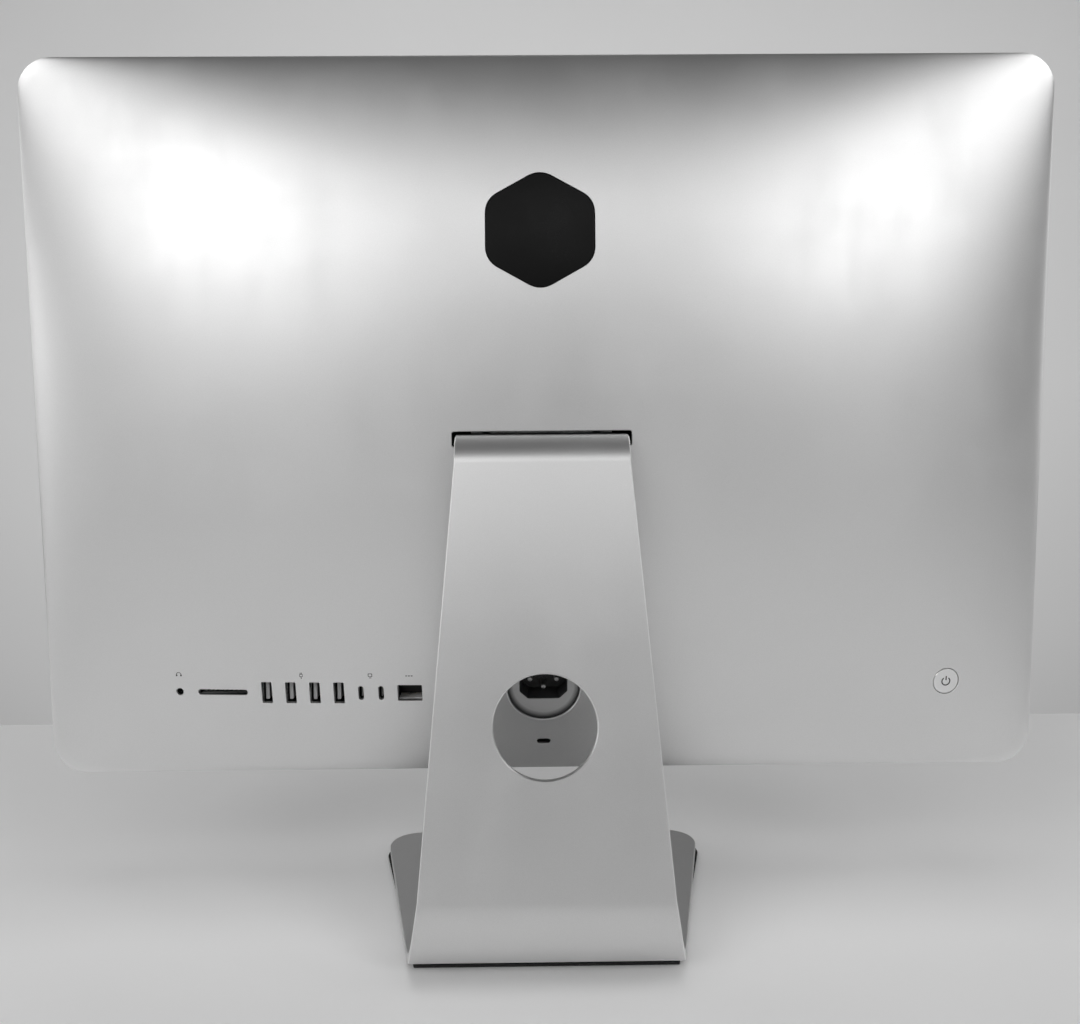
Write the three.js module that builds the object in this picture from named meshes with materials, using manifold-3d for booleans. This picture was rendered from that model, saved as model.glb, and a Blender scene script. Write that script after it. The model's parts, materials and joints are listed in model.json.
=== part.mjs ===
// An all-in-one desktop computer: a thin domed display body hung on one bent aluminium stand.
// Millimetres, +Z up. The screen faces -Y and the ports face +Y. The origin is the middle of the
// footprint, on the desk. "Left" is +X, the left-hand side for someone looking at the ports.
import * as THREE from "three";
import { mergeVertices } from "three/addons/utils/BufferGeometryUtils.js";
import Module from "manifold-3d";

const wasm = await Module();
wasm.setup();

// ---------------------------------------------------------------- driving dimensions

const GAP = 0.3; // between pieces that touch on the real object
const SHELL_CLEARANCE = 0.9; // between the inner face of the shell and what stands behind it
const RUNNING_GAP = 0.3; // around the hinge shaft

// Display body
const BODY_WIDTH = 528;
const BODY_HEIGHT = 372.3;
const BODY_BOTTOM = 77.7; // underside of the body above the desk
const BODY_CORNER = 18;
const RIM_BACK_Y = -4; // plane where the straight edge ends and the domed back begins
const RIM_DEPTH = 5; // glass front to that plane
const BULGE = 34; // height of the dome over the rim plane
const DOME_POWER_X = 2; // the dome falls off across as 1 - (x / half width) ^ 2
const DOME_POWER_Z = 2.3; // and up and down as 1 - (z / half height) ^ 2.3
const DOME_SHOULDER = 0.7; // both together to this power
const SHELL_WALL = 1.8;
const RIM_WIDTH = 8.5; // solid border of the shell
const REBATE_WIDTH = 3; // lip outside the adhesive
const REBATE_DEPTH = 0.8;

// Screen
const GLASS_THICKNESS = 2;
const GLASS_INSET = 0.6; // glass edge inside the aluminium edge
const CHIN_HEIGHT = 57; // aluminium strip under the glass
const CHIN_LEDGE = 7; // strip of the chin that carries the glass
const BORDER_SIDE = 24; // edge of the panel to the side of the body
const BORDER_TOP = 21.5;
const BORDER_LOW = 21.8; // edge of the panel to the top of the chin
const PANEL_THICKNESS = 3;
const CAMERA_BODY = [14, 6]; // width and height of the camera's housing
const LENS_RADIUS = 2.2;
const MICROPHONE_X = 22;
const ADHESIVE_THICKNESS = 0.5;

// Stand
const PLATE = 4.7;
const PAD_THICKNESS = 2; // the pad and its bond line under the plate
const PAD_INSET = 3;
const PAD_UNDER_BEND = 9.8; // how far the pad reaches on under the lower bend
const STAND_DEPTH = 175;
const FOOT_FRONT_HALF = 97;
const FOOT_BACK_HALF = 70;
const FOOT_CORNER = 22;
const NECK_LOW_HALF = 60.1;
const NECK_TOP_HALF = 42.6;
const LOW_BEND = 35.8; // outer radii of the two bends
const TOP_BEND = 16;
const BEND_STANDOFF = 0.4; // straight bit of tongue outside the dome
const TONGUE_REACH = 29; // tongue inside the dome
const CABLE_HOLE_RADIUS = 24.6;
const CABLE_HOLE_UP = 79.9; // along the neck from the end of the lower bend

// Slot and hinge
const SLOT_TOP = 260.5;
const SLOT_HEIGHT = 7.6;
const SLOT_SIDE_GAP = 2;
const SLOT_CORNER = 1.2;
const TONGUE_TOP_GAP = 1.7;
const PIVOT_DEPTH = 8.6; // hinge axis in front of the rear face of the dome
const PIVOT_RISE = 31.5; // hinge axis over the top of the slot
const SHAFT_RADIUS = 3;
const SHAFT_HALF = 60;
const LUG_RADIUS = 5.4;
const WASHER_RADIUS = 4.8;
const LUG_X = 28;
const LUG_THICKNESS = 4;
const BRACKET_HALF = 36;
const BRACKET_BASE = 3;
const BRACKET_DEPTH = 11;
const SPRING_WIRE = 0.8;
const SPRING_TURNS = 4;
const BLOCK_X = 50;
const BLOCK_WIDTH = 12;
const BLOCK_HEIGHT = 16;
const BLOCK_DEPTH = 13;
const SCREW_X = 14;
const SCREW_HEAD = 3.5;
const SCREW_SHANK = 1.7;

// Rear sockets
const PORT_Z = 125;
const PORT_WALL = 0.9; // metal shell of a connector
const JACK_X = 190.9;
const CARD_X = 167.8;
const USB_A_X = 144.4;
const USB_A_PITCH = 12.65;
const USB_C_X = 94.9;
const USB_C_PITCH = 10.5;
const ETHERNET_X = 69.4;
const JACK_RADIUS = 1.75;
const CARD_SLOT = [26.3, 2.9];
const USB_A_SLOT = [5.3, 11.6];
const USB_C_SLOT = [2.6, 7.6];
const ETHERNET_SLOT = [12.7, 8.8];

// Mains inlet
const INLET_Z = 127.5;
const INLET_RADIUS = 19;
const INLET_FLANGE = 18.6;
const INLET_RECESS = 3.5;
const INLET_DEPTH = 12;
const INLET_SOCKET = [24.4, 16];
const INLET_CHAMFER = 4.2;
const PIN_RADIUS = 1.4;

// Other features of the back
const LOCK_Z = 95.9;
const LOCK_SLOT = [7.4, 3];
const BUTTON_EDGE = 50; // centre of the button to the side of the body
const BUTTON_Z = 125.7;
const BUTTON_RADIUS = 6.9;
const BUTTON_THICKNESS = 2.2;
const BUTTON_TRAVEL = 0.5;
const EMBLEM_DROP = 91.3; // centre of the radio window under the top edge
const EMBLEM_WIDTH = 54;
const EMBLEM_HEIGHT = 60;
const EMBLEM_CORNER = 7;
const GRILLE_HALF = 36;
const GRILLE_HEIGHT = 24;
const GRILLE_DROP = 20; // top of the exhaust grille under the top of the slot
const GRILLE_PITCH = 5;
const VENT_SLOT = 1.8; // slots along the bottom edge
const VENT_PITCH = 8;
const VENT_FRAME = 0.6; // rim of the grille behind a slot
const INTAKE_LENGTH = 150;
const SPEAKER_VENT_LENGTH = 84;
const SPEAKER_VENT_IN = 40; // its middle from the inner side of the speaker

// Inside
const BOARD_THICKNESS = 1.6;
const BOARD_LEFT_START = 50;
const BOARD_BOTTOM = 112;
const BOARD_TOP = 236;
const SPEAKER_WIDTH = 30;
const SPEAKER_EDGE = 28; // speaker to the side of the body
const SPEAKER_BOTTOM = 150;
const SPEAKER_HEIGHT = 112;
const CONE_RADIUS = 10;
const CONE_UP = 20;
const SUPPLY_START = -58;
const SUPPLY_BOTTOM = 152;
const FAN_RADIUS = 40;
const FAN_Z = 191;
const FAN_FRONT = 3;
const FAN_DEPTH = 14;
const FAN_WALL = 1.5;
const FAN_EYE = 26;
const DUCT_HALF = 30;
const BLADES = 9;
const MOTOR_RADIUS = 8;
const HUB_RADIUS = 12;
const HUB_WALL = 2;
const LEAD_RADIUS = 1.6;
const PROCESSOR = [34, 34, 2.7]; // width, height and thickness of the parts on the boards
const PROCESSOR_IN = 34; // middle of the processor from the edge of the board
const HEATSINK_HALF = 24;
const HEATSINK_DEPTH = 14;
const FIN_PITCH = 5.6;
const FIN_THICKNESS = 1.4;
const MEMORY = [67.6, 30, 3.8];
const WIRELESS = [30, 22, 2.2];
const CELL_RADIUS = 10;
const CELL_THICKNESS = 3.2;
const TRANSFORMER = [36, 30, 20];
const CAPACITOR_RADIUS = 8;
const CAPACITOR_LENGTH = 32;
const CAPACITOR_IN = 82; // from the inner end of the supply board
const DRIVE = [100, 70, 7];
const DRIVE_X = 126;
const DRIVE_DROP = 150; // centre of the drive under the top edge
const DRIVE_ARM = 2; // thickness of the arms of its bracket
const ANTENNA = [44, 24, 1.2];

// ---------------------------------------------------------------- places worked out from them

const HALF_W = BODY_WIDTH / 2;
const HALF_H = BODY_HEIGHT / 2;
const BODY_MID = BODY_BOTTOM + HALF_H;
const BODY_TOP = BODY_BOTTOM + BODY_HEIGHT;
const FRONT_Y = RIM_BACK_Y - RIM_DEPTH;
const GLASS_BACK_Y = FRONT_Y + GLASS_THICKNESS;
const SHELL_FRONT_Y = GLASS_BACK_Y + GAP;
const REBATE_Y = SHELL_FRONT_Y + REBATE_DEPTH;
const PANEL_FRONT_Y = GLASS_BACK_Y + GAP;
const PANEL_BACK_Y = PANEL_FRONT_Y + PANEL_THICKNESS;
const BOARD_FRONT_Y = PANEL_BACK_Y + GAP + 0.2;
const BOARD_BACK_Y = BOARD_FRONT_Y + BOARD_THICKNESS;
const PARTS_Y = BOARD_BACK_Y + GAP; // components stand on the boards from here
const CHIN_TOP = BODY_BOTTOM + CHIN_HEIGHT;
const SLOT_HALF = NECK_TOP_HALF + SLOT_SIDE_GAP;
const SLOT_MID = SLOT_TOP - SLOT_HEIGHT / 2;
const SLOT_REAR_Y = domeY(0, SLOT_MID);
const TONGUE_TOP = SLOT_TOP - TONGUE_TOP_GAP;
const TONGUE_END_Y = SLOT_REAR_Y - TONGUE_REACH;
const PIVOT_Z = SLOT_TOP + PIVOT_RISE;
const SHAFT_END_ROOM = domeY(SHAFT_HALF, PIVOT_Z) - SHELL_WALL - GAP - WASHER_RADIUS;
const PIVOT_Y = Math.min(SLOT_REAR_Y - PIVOT_DEPTH, SHAFT_END_ROOM);
const FOOT_FRONT_Y = -STAND_DEPTH / 2;
const FOOT_BACK_Y = STAND_DEPTH / 2 - LOW_BEND;
const EMBLEM_Z = BODY_TOP - EMBLEM_DROP;
const GRILLE_TOP = SLOT_TOP - GRILLE_DROP;
const GRILLE_BOTTOM = GRILLE_TOP - GRILLE_HEIGHT;
const SPEAKER_OUTER = HALF_W - SPEAKER_EDGE;
const SPEAKER_INNER = SPEAKER_OUTER - SPEAKER_WIDTH;
const BUTTON_X = BUTTON_EDGE - HALF_W;

// Rear face of the dome over the point (x, z) of the body's outline.
function domeY(x, z) {
  const across = Math.max(0, 1 - Math.abs(x / HALF_W) ** DOME_POWER_X);
  const upright = Math.max(0, 1 - Math.abs((z - BODY_MID) / HALF_H) ** DOME_POWER_Z);
  return RIM_BACK_Y + BULGE * (across * upright) ** DOME_SHOULDER;
}

// Outward normal of the dome there.
function domeNormal(x, z) {
  const step = 0.5;
  const slopeX = (domeY(x + step, z) - domeY(x - step, z)) / (2 * step);
  const slopeZ = (domeY(x, z + step) - domeY(x, z - step)) / (2 * step);
  return new THREE.Vector3(-slopeX, 1, -slopeZ).normalize();
}

// How far back a box with these edges may reach inside the shell.
function roomY(x0, x1, z0, z1) {
  const corners = [domeY(x0, z0), domeY(x1, z0), domeY(x0, z1), domeY(x1, z1)];
  return Math.min(...corners) - SHELL_WALL - SHELL_CLEARANCE;
}

// ---------------------------------------------------------------- solid helpers

function solid(geometry) {
  const bare = geometry.index ? geometry.toNonIndexed() : geometry.clone();
  bare.deleteAttribute("normal");
  bare.deleteAttribute("uv");
  const merged = mergeVertices(bare, 1e-4);
  const triVerts = new Uint32Array(merged.index.array);
  const vertProperties = merged.attributes.position.array;
  return new wasm.Manifold(new wasm.Mesh({ numProp: 3, vertProperties, triVerts }));
}

function geometryOf(body) {
  const mesh = body.getMesh();
  const positions = new Float32Array(mesh.numVert * 3);
  for (let i = 0; i < mesh.numVert; i++) {
    const from = i * mesh.numProp;
    positions.set(mesh.vertProperties.subarray(from, from + 3), i * 3);
  }
  const geometry = new THREE.BufferGeometry();
  geometry.setAttribute("position", new THREE.BufferAttribute(positions, 3));
  geometry.setIndex(new THREE.BufferAttribute(new Uint32Array(mesh.triVerts), 1));
  geometry.computeVertexNormals();
  return geometry;
}

function cut(geometry, ...tools) {
  return geometryOf(tools.reduce((left, tool) => left.subtract(solid(tool)), solid(geometry)));
}

function join(geometry, ...others) {
  return geometryOf(others.reduce((sum, other) => sum.add(solid(other)), solid(geometry)));
}

function common(geometry, other) {
  return geometryOf(solid(geometry).intersect(solid(other)));
}

// A box given by its lowest and highest corner.
function block(x0, x1, y0, y1, z0, z1) {
  const box = new THREE.BoxGeometry(x1 - x0, y1 - y0, z1 - z0);
  return box.translate((x0 + x1) / 2, (y0 + y1) / 2, (z0 + z1) / 2);
}

// A round bar along X, Y or Z.
function bar(radius, from, to, axis, x, y, z, sides = 24) {
  const cylinder = new THREE.CylinderGeometry(radius, radius, to - from, sides);
  if (axis === "x") cylinder.rotateZ(-Math.PI / 2).translate((from + to) / 2, y, z);
  if (axis === "y") cylinder.translate(x, (from + to) / 2, z);
  if (axis === "z") cylinder.rotateX(Math.PI / 2).translate(x, y, (from + to) / 2);
  return cylinder;
}

// A shape drawn in X and Z, extruded along Y.
function alongY(shape, y0, y1, curveSegments = 6) {
  const depth = y1 - y0;
  const body = new THREE.ExtrudeGeometry(shape, { depth, bevelEnabled: false, curveSegments });
  return body.rotateX(Math.PI / 2).translate(0, y1, 0);
}

// A shape drawn in Y and Z, extruded along X.
function alongX(shape, x0, x1, curveSegments = 8) {
  const depth = x1 - x0;
  const body = new THREE.ExtrudeGeometry(shape, { depth, bevelEnabled: false, curveSegments });
  const turn = new THREE.Matrix4().makeBasis(
    new THREE.Vector3(0, 1, 0),
    new THREE.Vector3(0, 0, 1),
    new THREE.Vector3(1, 0, 0),
  );
  return body.applyMatrix4(turn).translate(x0, 0, 0);
}

function roundedRectangle(width, height, radius, cx = 0, cy = 0) {
  const w = width / 2 - radius;
  const h = height / 2 - radius;
  const shape = new THREE.Shape();
  shape.absarc(cx + w, cy + h, radius, 0, Math.PI / 2);
  shape.absarc(cx - w, cy + h, radius, Math.PI / 2, Math.PI);
  shape.absarc(cx - w, cy - h, radius, Math.PI, 1.5 * Math.PI);
  shape.absarc(cx + w, cy - h, radius, 1.5 * Math.PI, 2 * Math.PI);
  shape.closePath();
  return shape;
}

function polygon(points) {
  return new THREE.Shape(points.map(([a, b]) => new THREE.Vector2(a, b)));
}

// A closed skin over a row of rings with equal point counts, its two ends closed by fans.
function loft(rings) {
  const positions = [];
  const index = [];
  const count = rings[0].length;
  rings.forEach((ring) => ring.forEach((p) => positions.push(p.x, p.y, p.z)));
  for (let r = 0; r + 1 < rings.length; r++) {
    for (let i = 0; i < count; i++) {
      const j = (i + 1) % count;
      const near = r * count;
      const far = near + count;
      index.push(near + i, near + j, far + j, near + i, far + j, far + i);
    }
  }
  for (const [ring, start, flip] of [
    [rings[0], 0, true],
    [rings.at(-1), (rings.length - 1) * count, false],
  ]) {
    const middle = ring.reduce((sum, p) => sum.add(p), new THREE.Vector3()).divideScalar(count);
    const hub = positions.length / 3;
    positions.push(middle.x, middle.y, middle.z);
    for (let i = 0; i < count; i++) {
      const j = (i + 1) % count;
      index.push(start + (flip ? j : i), start + (flip ? i : j), hub);
    }
  }
  const geometry = new THREE.BufferGeometry();
  geometry.setAttribute("position", new THREE.Float32BufferAttribute(positions, 3));
  geometry.setIndex(index);
  return geometry;
}

// Points around a rounded rectangle centred on the body, evenly spread along each straight side.
function outline(halfW, halfH, radius, perWidth, perHeight, perCorner) {
  const points = [];
  const corners = [
    [1, 1],
    [-1, 1],
    [-1, -1],
    [1, -1],
  ];
  corners.forEach(([sx, sz], turn) => {
    const cx = sx * (halfW - radius);
    const cz = sz * (halfH - radius);
    for (let i = 0; i <= perCorner; i++) {
      const angle = (turn + i / perCorner) * (Math.PI / 2);
      points.push([cx + radius * Math.cos(angle), cz + radius * Math.sin(angle)]);
    }
    const [nx, nz] = corners[(turn + 1) % 4];
    const steps = turn % 2 ? perHeight : perWidth;
    const from = points.at(-1);
    const along = turn % 2 ? [0, 2 * (halfH - radius) * nz] : [2 * (halfW - radius) * nx, 0];
    for (let i = 1; i < steps; i++) {
      points.push([from[0] + (along[0] * i) / steps, from[1] + (along[1] * i) / steps]);
    }
  });
  return points;
}

// ---------------------------------------------------------------- the shell and its skin

// A solid under the dome: rings of the outline shrink towards the middle, then close at the front.
function domeSolid(inset, wall, frontY, ringCount, perWidth, perHeight, perCorner) {
  const radius = Math.max(2, BODY_CORNER - inset);
  const edge = outline(HALF_W - inset, HALF_H - inset, radius, perWidth, perHeight, perCorner);
  const rings = [];
  for (let k = 1; k <= ringCount; k++) {
    const t = 1 - (1 - k / ringCount) ** 1.7;
    rings.push(
      edge.map(([x, z]) => {
        const y = domeY(x * t, BODY_MID + z * t) - wall;
        return new THREE.Vector3(x * t, y, BODY_MID + z * t);
      }),
    );
  }
  rings.push(edge.map(([x, z]) => new THREE.Vector3(x, frontY, BODY_MID + z)));
  return loft(rings);
}

const outerSolid = domeSolid(0, 0, SHELL_FRONT_Y, 12, 11, 9, 4);
const innerSolid = domeSolid(RIM_WIDTH, SHELL_WALL, SHELL_FRONT_Y - 1, 9, 10, 8, 2);
const backSkin = cut(outerSolid, innerSolid);

// A cutter through the back of the shell, with its outline in X and Z.
function throughBack(shape, curveSegments) {
  return alongY(shape, PANEL_BACK_Y, RIM_BACK_Y + BULGE + 5, curveSegments);
}

function rectangleAt([width, height], x, z, radius, grow = 0) {
  return roundedRectangle(width + 2 * grow, height + 2 * grow, radius + grow, x, z);
}

const usbAPlaces = [0, 1, 2, 3].map((i) => USB_A_X - i * USB_A_PITCH);
const usbCPlaces = [0, 1].map((i) => USB_C_X - i * USB_C_PITCH);

// The frame of a feature that sits square to the dome: its own +Z is the dome's normal.
function onDome(x, z) {
  const normal = domeNormal(x, z);
  const turn = new THREE.Quaternion().setFromUnitVectors(new THREE.Vector3(0, 0, 1), normal);
  // Turn about the normal until the feature's own Y lies upright.
  const up = new THREE.Vector3(0, 1, 0).applyQuaternion(turn);
  const wanted = new THREE.Vector3(0, 0, 1).projectOnPlane(normal).normalize();
  const angle = Math.atan2(up.clone().cross(wanted).dot(normal), up.dot(wanted));
  turn.premultiply(new THREE.Quaternion().setFromAxisAngle(normal, angle));
  const place = new THREE.Vector3(x, domeY(x, z), z);
  return new THREE.Matrix4().compose(place, turn, new THREE.Vector3(1, 1, 1));
}

// A prism in such a frame, from depth d0 to d1 measured outward from the dome.
function sunk(shape, d0, d1, frame, curveSegments = 8) {
  const depth = d1 - d0;
  const body = new THREE.ExtrudeGeometry(shape, { depth, bevelEnabled: false, curveSegments });
  return body.translate(0, 0, d0).applyMatrix4(frame);
}

function circle(radius) {
  const shape = new THREE.Shape();
  shape.absarc(0, 0, radius, 0, 2 * Math.PI);
  return shape;
}

function hexagon(width, height, corner) {
  const points = [0, 1, 2, 3, 4, 5].map((i) => {
    const angle = Math.PI / 2 + (i * Math.PI) / 3;
    const spread = width / 2 / Math.cos(Math.PI / 6);
    return new THREE.Vector2(spread * Math.cos(angle), (height / 2) * Math.sin(angle));
  });
  const shape = new THREE.Shape();
  points.forEach((p, i) => {
    const before = points[(i + 5) % 6];
    const after = points[(i + 1) % 6];
    const enter = p.clone().add(before.clone().sub(p).setLength(corner));
    const leave = p.clone().add(after.clone().sub(p).setLength(corner));
    if (i === 0) shape.moveTo(enter.x, enter.y);
    else shape.lineTo(enter.x, enter.y);
    shape.quadraticCurveTo(p.x, p.y, leave.x, leave.y);
  });
  shape.closePath();
  return shape;
}

function shifted(shape, dx, dy) {
  return new THREE.Shape(shape.getPoints(4).map((p) => new THREE.Vector2(p.x + dx, p.y + dy)));
}

const inletFrame = onDome(0, INLET_Z);
const buttonFrame = onDome(BUTTON_X, BUTTON_Z);
const ventGroups = [
  ["speaker_grille_left", SPEAKER_INNER - SPEAKER_VENT_IN, SPEAKER_VENT_LENGTH],
  ["intake_grille", 0, INTAKE_LENGTH],
  ["speaker_grille_right", SPEAKER_VENT_IN - SPEAKER_INNER, SPEAKER_VENT_LENGTH],
];
const VENT_Y = RIM_BACK_Y - 0.6; // middle of the slots along the bottom edge

function rearHousing() {
  const rebate = alongY(
    roundedRectangle(
      BODY_WIDTH - 2 * REBATE_WIDTH,
      BODY_HEIGHT - 2 * REBATE_WIDTH,
      BODY_CORNER - REBATE_WIDTH,
      0,
      BODY_MID,
    ),
    SHELL_FRONT_Y - 1,
    REBATE_Y,
  );
  const tools = [rebate];
  tools.push(
    throughBack(rectangleAt([2 * SLOT_HALF, SLOT_HEIGHT], 0, SLOT_MID, SLOT_CORNER), 3),
    throughBack(rectangleAt(CARD_SLOT, CARD_X, PORT_Z, 1), 3),
    throughBack(rectangleAt(ETHERNET_SLOT, ETHERNET_X, PORT_Z, 0.5), 2),
    throughBack(rectangleAt(LOCK_SLOT, 0, LOCK_Z, 1.4), 3),
    throughBack(
      rectangleAt([2 * GRILLE_HALF, GRILLE_HEIGHT], 0, (GRILLE_TOP + GRILLE_BOTTOM) / 2, 3),
      3,
    ),
    throughBack(shifted(hexagon(EMBLEM_WIDTH, EMBLEM_HEIGHT, EMBLEM_CORNER), 0, EMBLEM_Z)),
    bar(JACK_RADIUS, PANEL_BACK_Y, RIM_BACK_Y + BULGE, "y", JACK_X, 0, PORT_Z, 16),
    sunk(circle(INLET_RADIUS), -12, 12, inletFrame, 12),
    sunk(circle(BUTTON_RADIUS + GAP), -8, 8, buttonFrame, 8),
  );
  for (const x of usbAPlaces) tools.push(throughBack(rectangleAt(USB_A_SLOT, x, PORT_Z, 0.4), 2));
  for (const x of usbCPlaces) tools.push(throughBack(rectangleAt(USB_C_SLOT, x, PORT_Z, 1.2), 3));
  for (const [, x, length] of ventGroups) {
    const y0 = VENT_Y - VENT_SLOT / 2;
    const y1 = VENT_Y + VENT_SLOT / 2;
    const x0 = x - length / 2;
    tools.push(block(x0, x0 + length, y0, y1, BODY_BOTTOM - 5, BODY_BOTTOM + RIM_WIDTH + 1));
  }
  return cut(backSkin, ...tools);
}

// ---------------------------------------------------------------- screen side

function glassOutline(inset) {
  const bottom = CHIN_TOP + GAP;
  const top = BODY_TOP - inset;
  const half = HALF_W - inset;
  const r = BODY_CORNER - inset;
  const shape = new THREE.Shape();
  shape.moveTo(-half, bottom);
  shape.lineTo(half, bottom);
  shape.absarc(half - r, top - r, r, 0, Math.PI / 2);
  shape.absarc(-half + r, top - r, r, Math.PI / 2, Math.PI);
  shape.closePath();
  return shape;
}

function chinPlate() {
  const r = BODY_CORNER;
  const face = new THREE.Shape();
  face.moveTo(HALF_W, CHIN_TOP);
  face.lineTo(-HALF_W, CHIN_TOP);
  face.absarc(-HALF_W + r, BODY_BOTTOM + r, r, Math.PI, 1.5 * Math.PI);
  face.absarc(HALF_W - r, BODY_BOTTOM + r, r, 1.5 * Math.PI, 2 * Math.PI);
  face.closePath();
  const half = HALF_W - RIM_WIDTH - GAP;
  const ledgeBack = REBATE_Y + 1.5;
  return join(
    alongY(face, FRONT_Y, GLASS_BACK_Y),
    block(-half, half, GLASS_BACK_Y - 0.5, ledgeBack, CHIN_TOP - 6, CHIN_TOP),
    block(-half, half, REBATE_Y, ledgeBack, CHIN_TOP - 6, CHIN_TOP + CHIN_LEDGE),
  );
}

function glassAdhesive() {
  const y0 = GLASS_BACK_Y + GAP;
  const y1 = y0 + ADHESIVE_THICKNESS;
  const outer = REBATE_WIDTH + GAP;
  const inner = RIM_WIDTH - GAP;
  const ring = alongY(glassOutline(outer), y0, y1);
  const half = HALF_W - inner;
  const opening = block(-half, half, y0 - 1, y1 + 1, CHIN_TOP + CHIN_LEDGE - 1, BODY_TOP - inner);
  return cut(ring, opening);
}

// ---------------------------------------------------------------- stand

const topBendY = SLOT_REAR_Y + BEND_STANDOFF;
const lowCentre = new THREE.Vector2(FOOT_BACK_Y, PAD_THICKNESS + LOW_BEND);
const topCentre = new THREE.Vector2(topBendY, TONGUE_TOP - TOP_BEND);
const between = topCentre.clone().sub(lowCentre);
// The neck is the straight line that touches both bends: this is how far it leans forward.
const LEAN = between.angle() - Math.acos((LOW_BEND - TOP_BEND) / between.length());

// Sections along the plate, each with a place on its outer face, the outward direction there and
// the half width: along the foot, round the lower bend, up the neck and into the dome.
function plateSections() {
  const sections = [];
  const add = (y, z, angle, half) => sections.push({ y, z, angle, half });
  const down = -Math.PI / 2;
  const taper = (FOOT_BACK_HALF - FOOT_FRONT_HALF) / (FOOT_BACK_Y - FOOT_FRONT_Y);
  const cornerSteps = 5;
  for (let i = 0; i <= cornerSteps; i++) {
    const turn = (i / cornerSteps) * (Math.PI / 2);
    const s = FOOT_CORNER * (1 - Math.cos(turn));
    const full = FOOT_FRONT_HALF + taper * s;
    add(FOOT_FRONT_Y + s, PAD_THICKNESS, down, full - FOOT_CORNER * (1 - Math.sin(turn)));
  }
  const lowSteps = 10;
  for (let i = 0; i <= lowSteps; i++) {
    const angle = down + (i / lowSteps) * (LEAN - down);
    const half = FOOT_BACK_HALF + (i / lowSteps) * (NECK_LOW_HALF - FOOT_BACK_HALF);
    const y = lowCentre.x + LOW_BEND * Math.cos(angle);
    add(y, lowCentre.y + LOW_BEND * Math.sin(angle), angle, half);
  }
  const topSteps = 8;
  for (let i = 0; i <= topSteps; i++) {
    const angle = LEAN + (i / topSteps) * (Math.PI / 2 - LEAN);
    const y = topCentre.x + TOP_BEND * Math.cos(angle);
    add(y, topCentre.y + TOP_BEND * Math.sin(angle), angle, NECK_TOP_HALF);
  }
  add(TONGUE_END_Y, TONGUE_TOP, Math.PI / 2, NECK_TOP_HALF);
  return sections;
}

function cableHoleCentre() {
  const y = lowCentre.x + LOW_BEND * Math.cos(LEAN) - CABLE_HOLE_UP * Math.sin(LEAN);
  const z = lowCentre.y + LOW_BEND * Math.sin(LEAN) + CABLE_HOLE_UP * Math.cos(LEAN);
  return new THREE.Vector3(0, y, z);
}

function screwHole(x, radius) {
  const y = TONGUE_END_Y + BRACKET_DEPTH / 2;
  return bar(radius, TONGUE_TOP - PLATE - 2, TONGUE_TOP + 8, "z", x, y, 0, 16);
}

function standPlate() {
  const rings = plateSections().map(({ y, z, angle, half }) => {
    const inY = y - PLATE * Math.cos(angle);
    const inZ = z - PLATE * Math.sin(angle);
    return [
      new THREE.Vector3(half, y, z),
      new THREE.Vector3(-half, y, z),
      new THREE.Vector3(-half, inY, inZ),
      new THREE.Vector3(half, inY, inZ),
    ];
  });
  const hole = new THREE.CylinderGeometry(CABLE_HOLE_RADIUS, CABLE_HOLE_RADIUS, 30, 40);
  const centre = cableHoleCentre();
  hole.rotateX(LEAN).translate(centre.x, centre.y, centre.z);
  const fasteners = [SCREW_X, -SCREW_X].map((x) => screwHole(x, SCREW_SHANK + GAP));
  return cut(loft(rings), hole, ...fasteners);
}

function footPad() {
  const front = FOOT_FRONT_Y + PAD_INSET;
  const back = FOOT_BACK_Y + PAD_UNDER_BEND;
  const wide = FOOT_FRONT_HALF - PAD_INSET;
  const taper = (FOOT_BACK_HALF - FOOT_FRONT_HALF) / (FOOT_BACK_Y - FOOT_FRONT_Y);
  const narrow = FOOT_BACK_HALF - PAD_INSET + taper * PAD_UNDER_BEND;
  const r = FOOT_CORNER - PAD_INSET;
  const shape = new THREE.Shape();
  shape.moveTo(-narrow, back);
  shape.lineTo(-wide, front + r);
  shape.quadraticCurveTo(-wide, front, -wide + r, front);
  shape.lineTo(wide - r, front);
  shape.quadraticCurveTo(wide, front, wide, front + r);
  shape.lineTo(narrow, back);
  shape.closePath();
  const depth = PAD_THICKNESS - GAP;
  return new THREE.ExtrudeGeometry(shape, { depth, bevelEnabled: false, curveSegments: 6 });
}

// ---------------------------------------------------------------- hinge

const BASE_Z = TONGUE_TOP + GAP; // underside of the bracket, on the tongue

function hingeBracket() {
  const y0 = TONGUE_END_Y;
  const y1 = TONGUE_END_Y + BRACKET_DEPTH;
  const top = BASE_Z + BRACKET_BASE;
  const base = block(-BRACKET_HALF, BRACKET_HALF, y0, y1, BASE_Z, top);
  const cheek = polygon([
    [y0, BASE_Z],
    [y1, BASE_Z],
    [PIVOT_Y + LUG_RADIUS * 0.9, PIVOT_Z - LUG_RADIUS * 0.4],
    [PIVOT_Y - LUG_RADIUS * 0.8, PIVOT_Z + LUG_RADIUS * 0.6],
  ]);
  const pieces = [];
  for (const x of [-LUG_X, LUG_X]) {
    const x0 = x - LUG_THICKNESS / 2;
    const x1 = x + LUG_THICKNESS / 2;
    pieces.push(alongX(cheek, x0, x1), bar(LUG_RADIUS, x0, x1, "x", 0, PIVOT_Y, PIVOT_Z));
  }
  const bore = bar(SHAFT_RADIUS + RUNNING_GAP, -SHAFT_HALF, SHAFT_HALF, "x", 0, PIVOT_Y, PIVOT_Z);
  const fasteners = [SCREW_X, -SCREW_X].map((x) => screwHole(x, SCREW_SHANK + GAP));
  return cut(join(base, ...pieces), bore, ...fasteners);
}

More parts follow.
